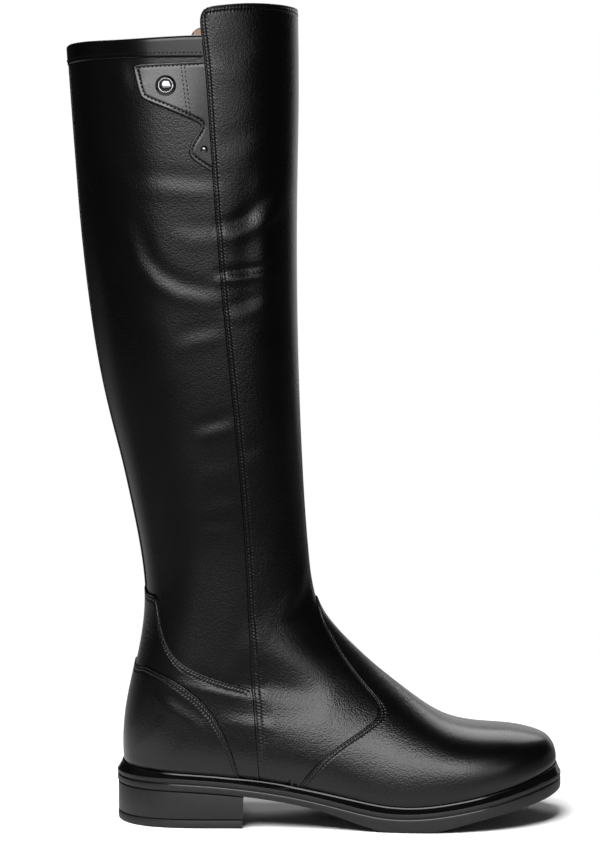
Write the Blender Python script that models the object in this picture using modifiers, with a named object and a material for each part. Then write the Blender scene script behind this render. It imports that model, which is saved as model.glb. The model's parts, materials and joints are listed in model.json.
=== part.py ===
"""Right knee boot with a low block heel: a leather upper on a welted rubber sole.

The toe points along +X, the outer (lateral) side faces -Y and the boot stands on z = 0. All tables and
sizes are in millimetres, with x counted from the back of the heel, and are scaled to metres on meshing.
"""

import math
from collections import namedtuple

import bmesh
import bpy
import numpy as np
from mathutils import Vector
from mathutils.bvhtree import BVHTree

MM = 0.001

# Driving sizes
SOLE_LENGTH = 262.0
TOE_SWING = 7.0          # how far the toe tip turns towards the inner side
SWING_START = 90.0       # where along the foot that turn begins
BOX_CENTRE_X = 117.5     # middle of the whole boot's length, which becomes the origin
BOX_CENTRE_Y = -1.3      # middle of its width
WALL = 2.0               # upper: lining and base leather
PANEL = 1.0              # leather of the front panel, quarter, band, stay and tab
LAP = 1.8                # thicker, lapped leather of the vamp and counter
GAP = 0.3                # clearance between pieces that meet
MESH_COLUMNS = 18        # grid of the upper: columns round it
PLAN_STEPS = 24          # stations along the sole

# Sole and heel
FEATHER_INSET = 6.5      # upper's lower edge, in from the sole's outline
FEATHER_LIFT = -1.2      # and the height of its untrimmed edge over the seam under the welt
WELT_SIDE = 3.0          # upright side of the welt, under its bevel
WELT_ROOM = 3.8          # how far inside the overlays the upper's cut in it reaches
SOLE_GROOVE = 0.7        # depth of the groove under the welt
GROOVE_HEIGHT = 1.1
SOLE_EDGE = 1.2          # rounded lower edge of the outsole
LIFT_HEIGHT = 4.8
LIFT_EDGE = 0.8
HEEL_INSET = 0.5
HEEL_EDGE = 0.4          # rounded lower edge of the block over the lift
HEEL_BREAST = 74.0       # front of the heel on the ground
BREAST_RAKE = 3.6        # how far the breast leans forward on its way up to the sole
BREAST_HOLLOW = 3.5      # how far the breast curves in at the middle
BREAST_HALF = 30.0       # half width over which it does
BREAST_STEPS = 9
INSOLE_THICK = 3.0
INSOLE_CLEAR = 1.3       # between the insole and the inside of the upper

# Sole seen from above: half widths from the centre line at equal turns of a half circle along its length
PlanRow = namedtuple("PlanRow", "turn lateral medial")
SOLE_PLAN = [
    PlanRow(0, 0.0, 0.0),
    PlanRow(15, 14.8, 14.8),
    PlanRow(30, 26.4, 26.2),
    PlanRow(45, 30.8, 30.4),
    PlanRow(60, 30.8, 29.6),
    PlanRow(75, 31.2, 27.4),
    PlanRow(90, 36.0, 33.0),
    PlanRow(105, 43.0, 41.2),
    PlanRow(120, 44.6, 43.4),
    PlanRow(135, 40.6, 39.4),
    PlanRow(150, 30.4, 29.6),
    PlanRow(165, 16.0, 15.8),
    PlanRow(180, 0.0, 0.0),
]

# Sole seen from the side: heights of its underside, of the seam under the welt and of the welt's rim
SideRow = namedtuple("SideRow", "along under seam rim")
SOLE_SIDE = [
    SideRow(0, 22.2, 27.0, 34.6),
    SideRow(12, 21.9, 26.8, 33.0),
    SideRow(30, 21.5, 26.5, 31.6),
    SideRow(52, 20.6, 25.6, 30.5),
    SideRow(74, 18.6, 23.4, 28.6),
    SideRow(96, 15.6, 20.4, 25.8),
    SideRow(116, 12.0, 16.8, 22.2),
    SideRow(134, 6.0, 12.6, 18.6),
    SideRow(147, 1.8, 9.8, 15.9),
    SideRow(158, -0.8, 8.3, 14.3),
    SideRow(171, -1.2, 8.2, 13.9),
    SideRow(184, -0.4, 9.2, 14.9),
    SideRow(197, 2.8, 11.0, 16.8),
    SideRow(211, 6.2, 13.4, 19.2),
    SideRow(225, 9.2, 16.6, 22.2),
    SideRow(239, 11.9, 19.8, 25.4),
    SideRow(252, 14.2, 22.6, 29.0),
    SideRow(262, 16.4, 23.8, 31.4),
]

# Section of the welt over its upright side: how far in from the sole's outline, and the share of the way up
# to the rim. The last row is the blank's back, which the upper is cut from.
WeltPoint = namedtuple("WeltPoint", "inset share")
WELT_BEVEL = [
    WeltPoint(0.0, 0.0),
    WeltPoint(0.9, 0.55),
    WeltPoint(2.2, 0.92),
    WeltPoint(3.4, 1.0),
    WeltPoint(6.0, 1.0),
]

# Back of the upper, from the heel seat up to above the collar
EdgePoint = namedtuple("EdgePoint", "along height")
BACK_LINE = [
    EdgePoint(6.6, 27), EdgePoint(5.7, 36), EdgePoint(5.2, 48), EdgePoint(6.1, 60),
    EdgePoint(7.9, 72), EdgePoint(11.1, 86), EdgePoint(14.7, 102), EdgePoint(17.3, 118),
    EdgePoint(18.0, 134), EdgePoint(16.5, 150), EdgePoint(13.7, 168), EdgePoint(9.2, 190),
    EdgePoint(3.8, 215), EdgePoint(-3.0, 240), EdgePoint(-9.3, 270), EdgePoint(-14.3, 305),
    EdgePoint(-18.5, 345), EdgePoint(-21.8, 390), EdgePoint(-24.9, 435), EdgePoint(-27.8, 485),
]

# Sections of the upper, from the toe to above the collar. Each runs from its crest (top of the foot or front
# of the shin) to its tail: the place along the sole's edge or, behind the heel seat, less the height up the
# back. lateral and medial are half widths, zero where the sole's own outline gives them, belly is how far up
# from the tail the widest level lies, and crown and round are how square the crest's and the tail's ends are.
FormRow = namedtuple("FormRow", "crest_x crest_z tail lateral medial belly crown round")
FORM = [
    FormRow(255.5, 29.5, 255.5, 0.0, 0.0, 0.30, 2.7, 2.4),
    FormRow(254.9, 35.5, 254.7, 0.0, 0.0, 0.30, 2.7, 2.4),
    FormRow(253.2, 42.2, 252.8, 0.0, 0.0, 0.30, 2.7, 2.4),
    FormRow(250.0, 47.0, 249.4, 0.0, 0.0, 0.30, 2.7, 2.4),
    FormRow(245.4, 49.7, 244.6, 0.0, 0.0, 0.30, 2.7, 2.4),
    FormRow(239.0, 51.4, 238.0, 0.0, 0.0, 0.30, 2.7, 2.4),
    FormRow(230.0, 53.0, 229.0, 0.0, 0.0, 0.30, 2.6, 2.4),
    FormRow(218.0, 54.4, 216.5, 0.0, 0.0, 0.30, 2.5, 2.4),
    FormRow(205.0, 55.5, 203.0, 0.0, 0.0, 0.30, 2.4, 2.4),
    FormRow(193.0, 58.2, 190.0, 0.0, 0.0, 0.30, 2.3, 2.4),
    FormRow(182.0, 64.2, 177.0, 34.0, 34.0, 0.31, 2.2, 2.4),
    FormRow(171.0, 72.0, 162.5, 35.5, 35.0, 0.33, 2.1, 2.4),
    FormRow(160.0, 80.5, 146.0, 34.6, 34.4, 0.36, 2.0, 2.3),
    FormRow(149.0, 89.4, 127.5, 33.6, 33.4, 0.40, 1.95, 2.3),
    FormRow(139.0, 98.8, 107.0, 32.8, 32.6, 0.43, 1.9, 2.3),
    FormRow(129.8, 108.0, 84.5, 32.3, 32.0, 0.46, 1.9, 2.3),
    FormRow(121.8, 117.0, 61.5, 32.2, 32.0, 0.47, 1.95, 2.3),
    FormRow(117.2, 125.4, 40.0, 32.2, 32.0, 0.47, 2.0, 2.3),
    FormRow(114.3, 133.6, 22.5, 32.2, 32.0, 0.47, 2.0, 2.3),
    FormRow(113.0, 142.0, 10.5, 32.2, 32.0, 0.46, 2.0, 2.3),
    FormRow(111.9, 150.5, 2.0, 32.2, 32.0, 0.46, 2.0, 2.3),
    FormRow(110.9, 160.0, -9.5, 32.2, 32.0, 0.45, 2.0, 2.3),
    FormRow(110.1, 170.0, -23.0, 32.2, 32.0, 0.45, 2.0, 2.25),
    FormRow(109.3, 181.0, -38.0, 32.2, 32.0, 0.45, 2.0, 2.2),
    FormRow(108.5, 193.0, -54.0, 32.3, 32.0, 0.45, 2.0, 2.15),
    FormRow(107.8, 206.0, -72.0, 32.6, 32.4, 0.45, 2.05, 2.1),
    FormRow(107.1, 220.0, -92.0, 33.4, 33.2, 0.46, 2.05, 2.1),
    FormRow(106.4, 236.0, -115.0, 35.0, 34.8, 0.46, 2.1, 2.1),
    FormRow(105.7, 256.0, -144.0, 37.5, 37.3, 0.46, 2.1, 2.1),
    FormRow(105.0, 282.0, -180.0, 40.4, 40.2, 0.46, 2.1, 2.1),
    FormRow(104.5, 312.0, -222.0, 42.9, 42.7, 0.46, 2.1, 2.1),
    FormRow(104.4, 345.0, -268.0, 44.8, 44.6, 0.46, 2.1, 2.1),
    FormRow(104.8, 380.0, -318.0, 46.0, 45.8, 0.46, 2.1, 2.1),
    FormRow(105.6, 414.0, -368.0, 46.8, 46.6, 0.46, 2.1, 2.1),
    FormRow(105.5, 446.0, -414.0, 47.3, 47.1, 0.46, 2.1, 2.1),
    FormRow(105.0, 480.0, -455.0, 47.6, 47.4, 0.46, 2.1, 2.1),
]
# Stretches of that table and the grid's steps in each, finer round the toe and the heel seat
GridStretch = namedtuple("GridStretch", "start stop steps")
GRID_ROWS = [
    GridStretch(0, 2, 4),
    GridStretch(2, 17, 14),
    GridStretch(17, 20, 9),
    GridStretch(20, 28, 7),
    GridStretch(28, 35, 5),
]
SEAT_SPREAD = 1.04       # the upper swells this much beyond its lower edge
SWELL_BLEND = 2.0        # softness of the change from that swell to the table's own width
FULL_SEAT = 0.995        # most of the widest level that the lower edge may take up
SECTION_STEPS = 160      # points of a section's curve before its columns are spaced out on it
FINE_STEPS = 40          # points for each row of a table where a curve is read by interpolation

# Seams and edges of the pieces that lie on the upper, seen from the outer side
FRONT_EDGE = [
    EdgePoint(90.0, -12), EdgePoint(85.6, 30), EdgePoint(82.7, 60), EdgePoint(80.2, 110),
    EdgePoint(78.3, 160), EdgePoint(73.2, 220), EdgePoint(65.3, 290), EdgePoint(59.5, 360),
    EdgePoint(56.2, 430), EdgePoint(54.2, 457), EdgePoint(54.0, 461.8), EdgePoint(56.0, 464.8),
    EdgePoint(60.5, 465.6), EdgePoint(74.0, 467.6), EdgePoint(92.0, 469.0), EdgePoint(160.0, 470.5),
]
COLLAR_EDGE = [
    EdgePoint(-60.0, 451.5), EdgePoint(-24.0, 450.6), EdgePoint(0.0, 448.7), EdgePoint(22.0, 448.7),
    EdgePoint(45.0, 449.6), EdgePoint(70.0, 450.0), EdgePoint(150.0, 450.0),
]
BAND_EDGE = [
    EdgePoint(-60.0, 439.0), EdgePoint(-10.0, 438.4), EdgePoint(20.0, 439.4), EdgePoint(70.0, 443.5),
]
VAMP_EDGE = [
    EdgePoint(111.0, 132.4), EdgePoint(114.0, 132.0), EdgePoint(116.6, 130.4), EdgePoint(118.4, 125.0),
    EdgePoint(120.6, 116.0), EdgePoint(125.0, 108.8), EdgePoint(131.5, 100.0), EdgePoint(140.0, 89.2),
    EdgePoint(148.0, 79.8), EdgePoint(155.2, 71.8), EdgePoint(156.4, 66.4), EdgePoint(150.8, 61.6),
    EdgePoint(138.4, 54.1), EdgePoint(124.0, 45.0), EdgePoint(114.9, 36.2), EdgePoint(108.6, 28.4),
    EdgePoint(102.0, 16.0), EdgePoint(98.0, -12.0),
]
QUARTER_EDGE = [
    EdgePoint(-40.0, 134.8), EdgePoint(8.0, 134.6), EdgePoint(21.5, 134.3), EdgePoint(25.0, 130.0),
    EdgePoint(26.2, 121.0), EdgePoint(28.4, 111.6), EdgePoint(32.6, 101.8), EdgePoint(39.0, 93.2),
    EdgePoint(49.0, 87.2), EdgePoint(62.0, 83.0), EdgePoint(80.0, 80.0), EdgePoint(110.0, 77.0),
]
COUNTER_EDGE = [
    EdgePoint(-40.0, 95.0), EdgePoint(6.0, 94.6), EdgePoint(20.0, 93.8), EdgePoint(33.0, 88.6),
    EdgePoint(45.0, 81.0), EdgePoint(54.5, 72.0), EdgePoint(62.0, 60.5), EdgePoint(68.0, 47.0),
    EdgePoint(73.0, 30.0), EdgePoint(77.0, 10.0), EdgePoint(79.0, -12.0),
]
TAB_EDGE = [
    EdgePoint(75.0, 438.0), EdgePoint(52.9, 436.7), EdgePoint(34.0, 435.5), EdgePoint(16.8, 434.8),
    EdgePoint(15.6, 433.4), EdgePoint(17.6, 426.0), EdgePoint(19.8, 417.2), EdgePoint(21.8, 415.0),
    EdgePoint(36.0, 409.4), EdgePoint(51.4, 402.6), EdgePoint(53.0, 400.6), EdgePoint(50.2, 396.4),
    EdgePoint(47.0, 391.4), EdgePoint(45.2, 386.4), EdgePoint(47.0, 382.8), EdgePoint(50.4, 380.4),
    EdgePoint(58.0, 375.4), EdgePoint(75.0, 366.0),
]
PATH_STEPS = 2           # points of a seam for each row of its table
SEAM_SHEAR = 0.087       # the front panel's seam lies this much further back for each step to the inner side
SEAM_SIDE = -46.0        # outer side of the shaft, where the tables hold
REACH = 90.0             # half width of the cutting prisms
BEYOND = 160.0           # past the front of the shaft, where prisms end
PAST_TOE = 320.0
BELOW = -12.0            # under the sole
ABOVE = 540.0            # over the collar
STAY_HALF = 4.6          # half width of the strip up the back
STAY_FOOT = 135.3
STAY_HEAD = 437.6
STAY_BACK = -60.0        # its cutter runs from behind the boot
STAY_FRONT = 45.0        # to inside the shaft
STUD_SPOT = EdgePoint(33.2, 422.8)
RIVET_SPOT = EdgePoint(54.0, 388.0)
TurnedPoint = namedtuple("TurnedPoint", "radius height")
STUD_PROFILE = [
    TurnedPoint(0.0, 2.5), TurnedPoint(2.6, 2.3), TurnedPoint(3.4, 1.7), TurnedPoint(4.0, 1.7),
    TurnedPoint(4.6, 2.1), TurnedPoint(5.4, 1.6), TurnedPoint(5.8, 0.7), TurnedPoint(5.8, 0.0),
    TurnedPoint(0.0, 0.0),
]
RIVET_PROFILE = [
    TurnedPoint(0.0, 1.3), TurnedPoint(1.1, 1.1), TurnedPoint(1.9, 0.5), TurnedPoint(2.1, 0.0),
    TurnedPoint(0.0, 0.0),
]
STUD_STEPS = 16
RIVET_STEPS = 12


def spline(values, t):
    """Uniform cubic B-spline of a table's column, at row numbers t."""
    p = np.asarray(values, float)
    p = np.concatenate([[2 * p[0] - p[1]], p, [2 * p[-1] - p[-2]]])
    t = np.clip(np.asarray(t, float), 0, len(values) - 1)
    i = np.minimum(t.astype(int), len(values) - 2)
    f = t - i
    return (
        (1 - f) ** 3 * p[i]
        + (3 * f**3 - 6 * f**2 + 4) * p[i + 1]
        + (1 + 3 * f + 3 * f**2 - 3 * f**3) * p[i + 2]
        + f**3 * p[i + 3]
    ) / 6


def column(rows, name):
    return [getattr(row, name) for row in rows]


def line_through(rows, name, along, at):
    """Value of one column of a table against another, on a smooth curve through its rows."""
    t = np.linspace(0, len(rows) - 1, FINE_STEPS * len(rows))
    return np.interp(at, spline(column(rows, along), t), spline(column(rows, name), t))


def under_z(x):
    return np.maximum(line_through(SOLE_SIDE, "under", "along", x), 0.0)


def seam_z(x):
    return line_through(SOLE_SIDE, "seam", "along", x)


def rim_z(x):
    return line_through(SOLE_SIDE, "rim", "along", x)


def back_x(z):
    return line_through(BACK_LINE, "along", "height", z)


def centre_y(x):
    """The foot's centre line, which turns inwards towards the toe."""
    ahead = np.maximum(np.asarray(x, float) - SWING_START, 0) / (SOLE_LENGTH - SWING_START)
    return TOE_SWING * ahead**2


def plan_edge(turn, side):
    """The sole's outline about its centre line, on side -1 (lateral) or +1 (medial), and on past its ends."""
    widths = column(SOLE_PLAN, "lateral" if side < 0 else "medial")
    folded = np.arccos(np.cos(turn))
    half = np.copysign(spline(widths, folded / math.pi * (len(widths) - 1)), np.sin(turn))
    return SOLE_LENGTH / 2 * (1 - np.cos(turn)), side * half


def plan_side(turn, side, inset=0.0):
    """Points of the sole's outline, moved in by inset and swung with the foot."""
    step = 1e-3
    before = plan_edge(turn - step, side)
    after = plan_edge(turn + step, side)
    dx = after[0] - before[0]
    dy = after[1] - before[1]
    length = np.hypot(dx, dy)
    x, y = plan_edge(turn, side)
    x = x + side * dy / length * inset
    return x, y - side * dx / length * inset + centre_y(x)


def feather_half(x, side):
    """Half width of the upper's lower edge at x."""
    px, py = plan_side(np.linspace(0, math.pi, 400), side, FEATHER_INSET)
    return max(float(side * (np.interp(x, px, py) - centre_y(np.clip(x, px[0], px[-1])))), 0.0)


def soft_larger(a, b):
    return 0.5 * (a + b + math.sqrt((a - b) ** 2 + SWELL_BLEND**2))


def form_tail(tail):
    """Where a section ends: on the sole's edge, or up the back of the heel."""
    if tail >= FEATHER_INSET:
        return np.array([tail, seam_z(tail) + FEATHER_LIFT])
    height = seam_z(FEATHER_INSET) + FEATHER_LIFT + FEATHER_INSET - tail
    return np.array([back_x(height), height])


def section_half(row, span, side):
    """Rise from the tail and half width at evenly spaced points of one side of a section."""
    width = row.lateral if side < 0 else row.medial
    seat = feather_half(row.tail, side) if row.tail >= FEATHER_INSET else 0.0
    widest = soft_larger(SEAT_SPREAD * seat, width) if width > SWELL_BLEND else SEAT_SPREAD * seat
    fullness = min(seat / widest, FULL_SEAT) if widest > 0 else FULL_SEAT
    front = (1 - row.belly) * span
    back = row.belly * span / (1 - fullness**row.round) ** (1 / row.round)
    up = np.linspace(0, 1, SECTION_STEPS)
    rise = span * up * up * (3 - 2 * up)
    level = rise - row.belly * span
    power = np.where(level > 0, row.crown, row.round)
    share = np.minimum(np.abs(level) / np.where(level > 0, front, back), 1.0)
    half = widest * (1 - share**power) ** (1 / power)
    walk = np.concatenate([[0], np.cumsum(np.hypot(np.diff(rise), np.diff(half)))])
    even = np.linspace(0, walk[-1], MESH_COLUMNS // 2 + 1)
    return np.interp(even, walk, rise), np.interp(even, walk, half)


def form_section(t):
    """One section of the upper at row number t, from its lateral tail over the crest to the medial one."""
    row = FormRow(*[float(spline(column(FORM, name), t)) for name in FormRow._fields])
    tail = form_tail(row.tail)
    crest = np.array([row.crest_x, row.crest_z])
    span = np.linalg.norm(crest - tail)
    axis = (crest - tail) / span
    halves = []
    for side in (-1, 1):
        rise, half = section_half(row, span, side)
        x = tail[0] + axis[0] * rise
        halves.append(np.stack([x, centre_y(x) + side * half, tail[1] + axis[1] * rise], axis=1))
    return np.concatenate([halves[0], halves[1][-2::-1]])


def place(point):
    """A point of the tables, in metres in the boot's own frame."""
    return Vector(((point[0] - BOX_CENTRE_X) * MM, (point[1] - BOX_CENTRE_Y) * MM, point[2] * MM))


def clear_scene():
    for old in list(bpy.data.objects):
        bpy.data.objects.remove(old, do_unlink=True)


def finish(name, colour, roughness, metallic=0.0):
    material = bpy.data.materials.new(name)
    material.use_nodes = True
    shader = material.node_tree.nodes["Principled BSDF"]
    shader.inputs["Base Color"].default_value = (*colour, 1.0)
    shader.inputs["Roughness"].default_value = roughness
    shader.inputs["Metallic"].default_value = metallic
    return material


def face_outwards(bm):
    """Make all faces agree, and point out of the solid or of the open wall."""
    bmesh.ops.recalc_face_normals(bm, faces=bm.faces)
    if bm.calc_volume(signed=True) < 0:
        bmesh.ops.reverse_faces(bm, faces=bm.faces)


def object_from(bm, name, collection, material=None):
    face_outwards(bm)
    mesh = bpy.data.meshes.new(name)
    bm.to_mesh(mesh)
    bm.free()
    mesh.shade_smooth()
    mesh.set_sharp_from_angle(angle=math.radians(35))
    obj = bpy.data.objects.new(name, mesh)
    collection.objects.link(obj)
    if material:
        mesh.materials.append(material)
    return obj


def as_cutter(obj):
    obj.hide_render = True
    obj.display_type = "WIRE"
    return obj


def boolean(obj, other, operation, folded=False):
    """Cut or keep by another solid, which may be folded into itself."""
    modifier = obj.modifiers.new(other.name, "BOOLEAN")
    modifier.operation = operation
    modifier.solver = "EXACT"
    modifier.use_self = folded
    modifier.object = other


def loft(rings, closed=False):
    """A solid through rings of points, capped at its far end or closed round; rings may shrink to a line."""
    bm = bmesh.new()
    loops = [[bm.verts.new(place(p)) for p in ring] for ring in rings]
    pairs = list(zip(loops, loops[1:]))
    if closed:
        pairs.append((loops[-1], loops[0]))
    for one, two in pairs:
        for i in range(len(one)):
            j = (i + 1) % len(one)
            bm.faces.new((one[i], one[j], two[j], two[i]))
    bmesh.ops.remove_doubles(bm, verts=bm.verts, dist=1e-6)
    bmesh.ops.dissolve_degenerate(bm, edges=bm.edges, dist=1e-6)
    open_edges = [e for e in bm.edges if e.is_boundary]
    if open_edges:
        bmesh.ops.holes_fill(bm, edges=open_edges)
    return bm


def grid_rows():
    """Row numbers of the grid's sections, one of which ends at the very back of the upper's lower edge."""
    rows = np.concatenate([np.linspace(g.start, g.stop, g.steps, endpoint=False) for g in GRID_ROWS])
    rows = np.append(rows, GRID_ROWS[-1].stop)
    t = np.linspace(GRID_ROWS[0].start, GRID_ROWS[-1].stop, FINE_STEPS * len(FORM))
    seat = np.interp(-FEATHER_INSET, -spline(column(FORM, "tail"), t), t)
    rows[np.argmin(np.abs(rows - seat))] = seat
    return rows


def wrapped_form(offset):
    """A grid wrapped on the upper's sections, with its points moved out by offset."""
    sections = [form_section(t) for t in grid_rows()]
    last = len(sections) - 1
    bm = bmesh.new()
    bmesh.ops.create_grid(bm, x_segments=last, y_segments=MESH_COLUMNS, size=0.5)
    for v in bm.verts:
        i = round((v.co.x + 0.5) * last)
        j = round((v.co.y + 0.5) * MESH_COLUMNS)
        v.co = place(sections[i][j])
    bmesh.ops.remove_doubles(bm, verts=bm.verts, dist=1e-6)
    bmesh.ops.triangulate(bm, faces=bm.faces, quad_method="SHORT_EDGE")
    face_outwards(bm)
    bm.normal_update()
    moved = [v.co + v.normal * offset * MM for v in bm.verts]
    for v, spot in zip(bm.verts, moved):
        v.co = spot
    return bm


def form_shell(name, collection, material, start, inwards, outwards):
    """A wall on the form moved out by start, with its faces this far inwards and outwards from there."""
    obj = object_from(wrapped_form(start), name, collection, material)
    wall = obj.modifiers.new("wall", "SOLIDIFY")
    wall.thickness = (inwards + outwards) * MM
    wall.offset = (outwards - inwards) / (inwards + outwards)
    return obj


def smooth_path(rows):
    """Points along and up on a smooth curve through the rows of a seam's table."""
    t = np.linspace(0, len(rows) - 1, PATH_STEPS * (len(rows) - 1) + 1)
    return np.stack([spline(column(rows, "along"), t), spline(column(rows, "height"), t)], axis=1)


def closed_outline(rows, *corners):
    return np.concatenate([smooth_path(rows), np.array(corners, float)])


def grown(outline, margin):
    """An outline with each of its points moved out by margin."""
    ahead = np.roll(outline, -1, axis=0) - outline
    ahead /= np.linalg.norm(ahead, axis=1)[:, None]
    along = ahead + np.roll(ahead, 1, axis=0)
    along /= np.linalg.norm(along, axis=1)[:, None]
    following = np.roll(outline, -1, axis=0)
    area = np.sum(outline[:, 0] * following[:, 1] - outline[:, 1] * following[:, 0])
    out = np.stack([along[:, 1], -along[:, 0]], axis=1) * math.copysign(1.0, area)
    return outline + margin * out


def prism(name, cutters, bottom, top):
    """A closed cutter between two like outlines of points in the tables' frame."""
    bm = bmesh.new()
    ends = [[bm.verts.new(place(p)) for p in ring] for ring in (bottom, top)]
    for ring in ends:
        bm.faces.new(ring)
    count = len(bottom)
    for i in range(count):
        j = (i + 1) % count
        bm.faces.new((ends[0][i], ends[0][j], ends[1][j], ends[1][i]))
    return as_cutter(object_from(bm, name, cutters))


def side_prism(name, cutters, outline, shear=0.0, sides=(-REACH, REACH)):
    """A cutter across the boot with this outline seen from the side."""
    rings = [[(x - shear * (y - SEAM_SIDE), y, z) for x, z in outline] for y in sides]
    return prism(name, cutters, *rings)


def make_upper(boot, leather, *cuts):
    upper = form_shell("upper", boot, leather, 0.0, WALL, 0.0)
    for cut in cuts:
        boolean(upper, cut, "DIFFERENCE")


def make_overlay(name, boot, leather, thickness, keep, *cuts):
    """A leather piece on the upper: a thin shell of the form kept inside one prism and cut by others."""
    overlay = form_shell(name, boot, leather, GAP, 0.0, thickness)
    boolean(overlay, keep, "INTERSECT")
    for cut in cuts:
        boolean(overlay, cut, "DIFFERENCE")


def make_overlays(boot, cutters, leather):
    front = closed_outline(FRONT_EDGE, (BEYOND, BELOW))
    vamp = closed_outline(VAMP_EDGE, (PAST_TOE, BELOW), (PAST_TOE, VAMP_EDGE[0].height))
    counter = closed_outline(COUNTER_EDGE, (COUNTER_EDGE[0].along, BELOW))
    quarter = closed_outline(QUARTER_EDGE, (QUARTER_EDGE[-1].along, BELOW), (QUARTER_EDGE[0].along, BELOW))
    collar = closed_outline(COLLAR_EDGE, (COLLAR_EDGE[-1].along, ABOVE), (COLLAR_EDGE[0].along, ABOVE))
    band = closed_outline(BAND_EDGE, (BAND_EDGE[-1].along, ABOVE), (BAND_EDGE[0].along, ABOVE))
    front_keep = side_prism("front_keep", cutters, front, SEAM_SHEAR)
    front_clear = side_prism("front_clear", cutters, grown(front, GAP), SEAM_SHEAR)
    vamp_keep = side_prism("vamp_keep", cutters, vamp)
    vamp_clear = side_prism("vamp_clear", cutters, grown(vamp, GAP))
    counter_keep = side_prism("counter_keep", cutters, counter)
    counter_clear = side_prism("counter_clear", cutters, grown(counter, GAP))
    quarter_keep = side_prism("quarter_keep", cutters, quarter)
    band_keep = side_prism("band_keep", cutters, band)
    tab_keep = side_prism("tab_keep", cutters, smooth_path(TAB_EDGE), sides=(-REACH, 0.0))
    collar_cut = side_prism("collar_cut", cutters, collar)
    boolean(collar_cut, front_keep, "DIFFERENCE")
    strip = [(-STAY_HALF, STAY_FOOT), (STAY_HALF, STAY_FOOT), (STAY_HALF, STAY_HEAD), (-STAY_HALF, STAY_HEAD)]
    stay_ends = [[(x, y, z) for y, z in strip] for x in (STAY_BACK, STAY_FRONT)]
    stay_keep = prism("stay_keep", cutters, *stay_ends)
    trim_x = np.linspace(-SOLE_LENGTH, 2 * SOLE_LENGTH, 3 * PLAN_STEPS + 1)
    trim = [(x, seam_z(x) + GAP / 2) for x in trim_x] + [(trim_x[-1], BELOW), (trim_x[0], BELOW)]
    sole_trim = side_prism("sole_trim", cutters, trim)
    make_upper(boot, leather, collar_cut, sole_trim)
    make_overlay("front_panel", boot, leather, PANEL, front_keep, vamp_clear, sole_trim)
    make_overlay("vamp", boot, leather, LAP, vamp_keep, sole_trim)
    make_overlay("quarter", boot, leather, PANEL, quarter_keep, counter_clear, front_clear, sole_trim)
    make_overlay("counter", boot, leather, LAP, counter_keep, sole_trim)
    make_overlay("collar_band", boot, leather, PANEL, band_keep, collar_cut, front_clear)
    make_overlay("back_stay", boot, leather, PANEL, stay_keep)
    make_overlay("tab", boot, leather, PANEL, tab_keep, front_clear)


def plan_turns():
    return np.linspace(0, math.pi, PLAN_STEPS + 1)


def plate(levels, turns):
    """Rings across a plate at stations along the sole; each level gives an inset and a height by x."""
    sides = []
    for side in (-1, 1):
        edges = []
        for inset, height in levels:
            x, y = plan_side(turns, side, inset)
            edges.append(np.stack([x, y, height(x)], axis=1))
        sides.append(edges)
    return [
        [edge[i] for edge in sides[0]] + [edge[i] for edge in reversed(sides[1])]
        for i in range(len(turns))
    ]


def seam_plus(rise):
    """Heights that follow the seam under the welt."""
    return lambda x: seam_z(x) + rise


def under_plus(rise):
    """Heights that follow the sole's underside."""
    return lambda x: under_z(x) + rise


def level(height):
    """A height that stays the same along the sole."""
    return lambda x: np.full_like(x, height)


def make_outsole(boot, rubber):
    top = -GAP / 2
    levels = [
        (SOLE_EDGE, under_plus(0.0)),
        (0.0, under_plus(SOLE_EDGE)),
        (0.0, seam_plus(top - GROOVE_HEIGHT)),
        (SOLE_GROOVE, seam_plus(top - GROOVE_HEIGHT)),
        (SOLE_GROOVE, seam_plus(top)),
    ]
    object_from(loft(plate(levels, plan_turns())), "outsole", boot, rubber)


def make_insole(boot, lining):
    inset = FEATHER_INSET + WALL + INSOLE_CLEAR
    levels = [(inset, seam_plus(GAP)), (inset, seam_plus(GAP + INSOLE_THICK))]
    object_from(loft(plate(levels, plan_turns())), "insole", boot, lining)


def bevel_height(share):
    """Heights of the welt between the top of its upright side and its rim."""
    return lambda x: (1 - share) * (seam_z(x) + WELT_SIDE) + share * rim_z(x)


def make_welt(boot, cutters, coated):
    """A rim lofted round the sole's outline, with the upper and its overlays cut out of it."""
    section = [(0.0, seam_plus(GAP / 2))]
    section += [(p.inset, bevel_height(p.share)) for p in WELT_BEVEL]
    section += [(WELT_BEVEL[-1].inset, seam_plus(GAP / 2))]
    turns = plan_turns()
    rings = []
    for side, order in ((-1, turns), (1, turns[-2:0:-1])):
        outer = plan_side(order, side)[0]
        edges = []
        for inset, height in section:
            x, y = plan_side(order, side, inset)
            edges.append(np.stack([x, y, height(outer)], axis=1))
        rings += [[edge[i] for edge in edges] for i in range(len(order))]
    welt = object_from(loft(rings, closed=True), "welt", boot, coated)
    room = as_cutter(form_shell("welt_room", cutters, None, GAP, WELT_ROOM, LAP + GAP))
    boolean(welt, room, "DIFFERENCE", folded=True)


def make_breast(cutters):
    """A cutter for the heel's front, which leans forward and curves in at the middle."""
    rings = []
    for height in (BELOW, seam_z(HEEL_BREAST)):
        lean = HEEL_BREAST + BREAST_RAKE * height / under_z(HEEL_BREAST)
        share = np.linspace(-1, 1, BREAST_STEPS)
        arc = [(lean - BREAST_HOLLOW * (1 - s * s), s * BREAST_HALF, height) for s in share]
        corners = [(lean, REACH), (BEYOND, REACH), (BEYOND, -REACH), (lean, -REACH)]
        rings.append(arc + [(x, y, height) for x, y in corners])
    return prism("breast", cutters, *rings)


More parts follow.
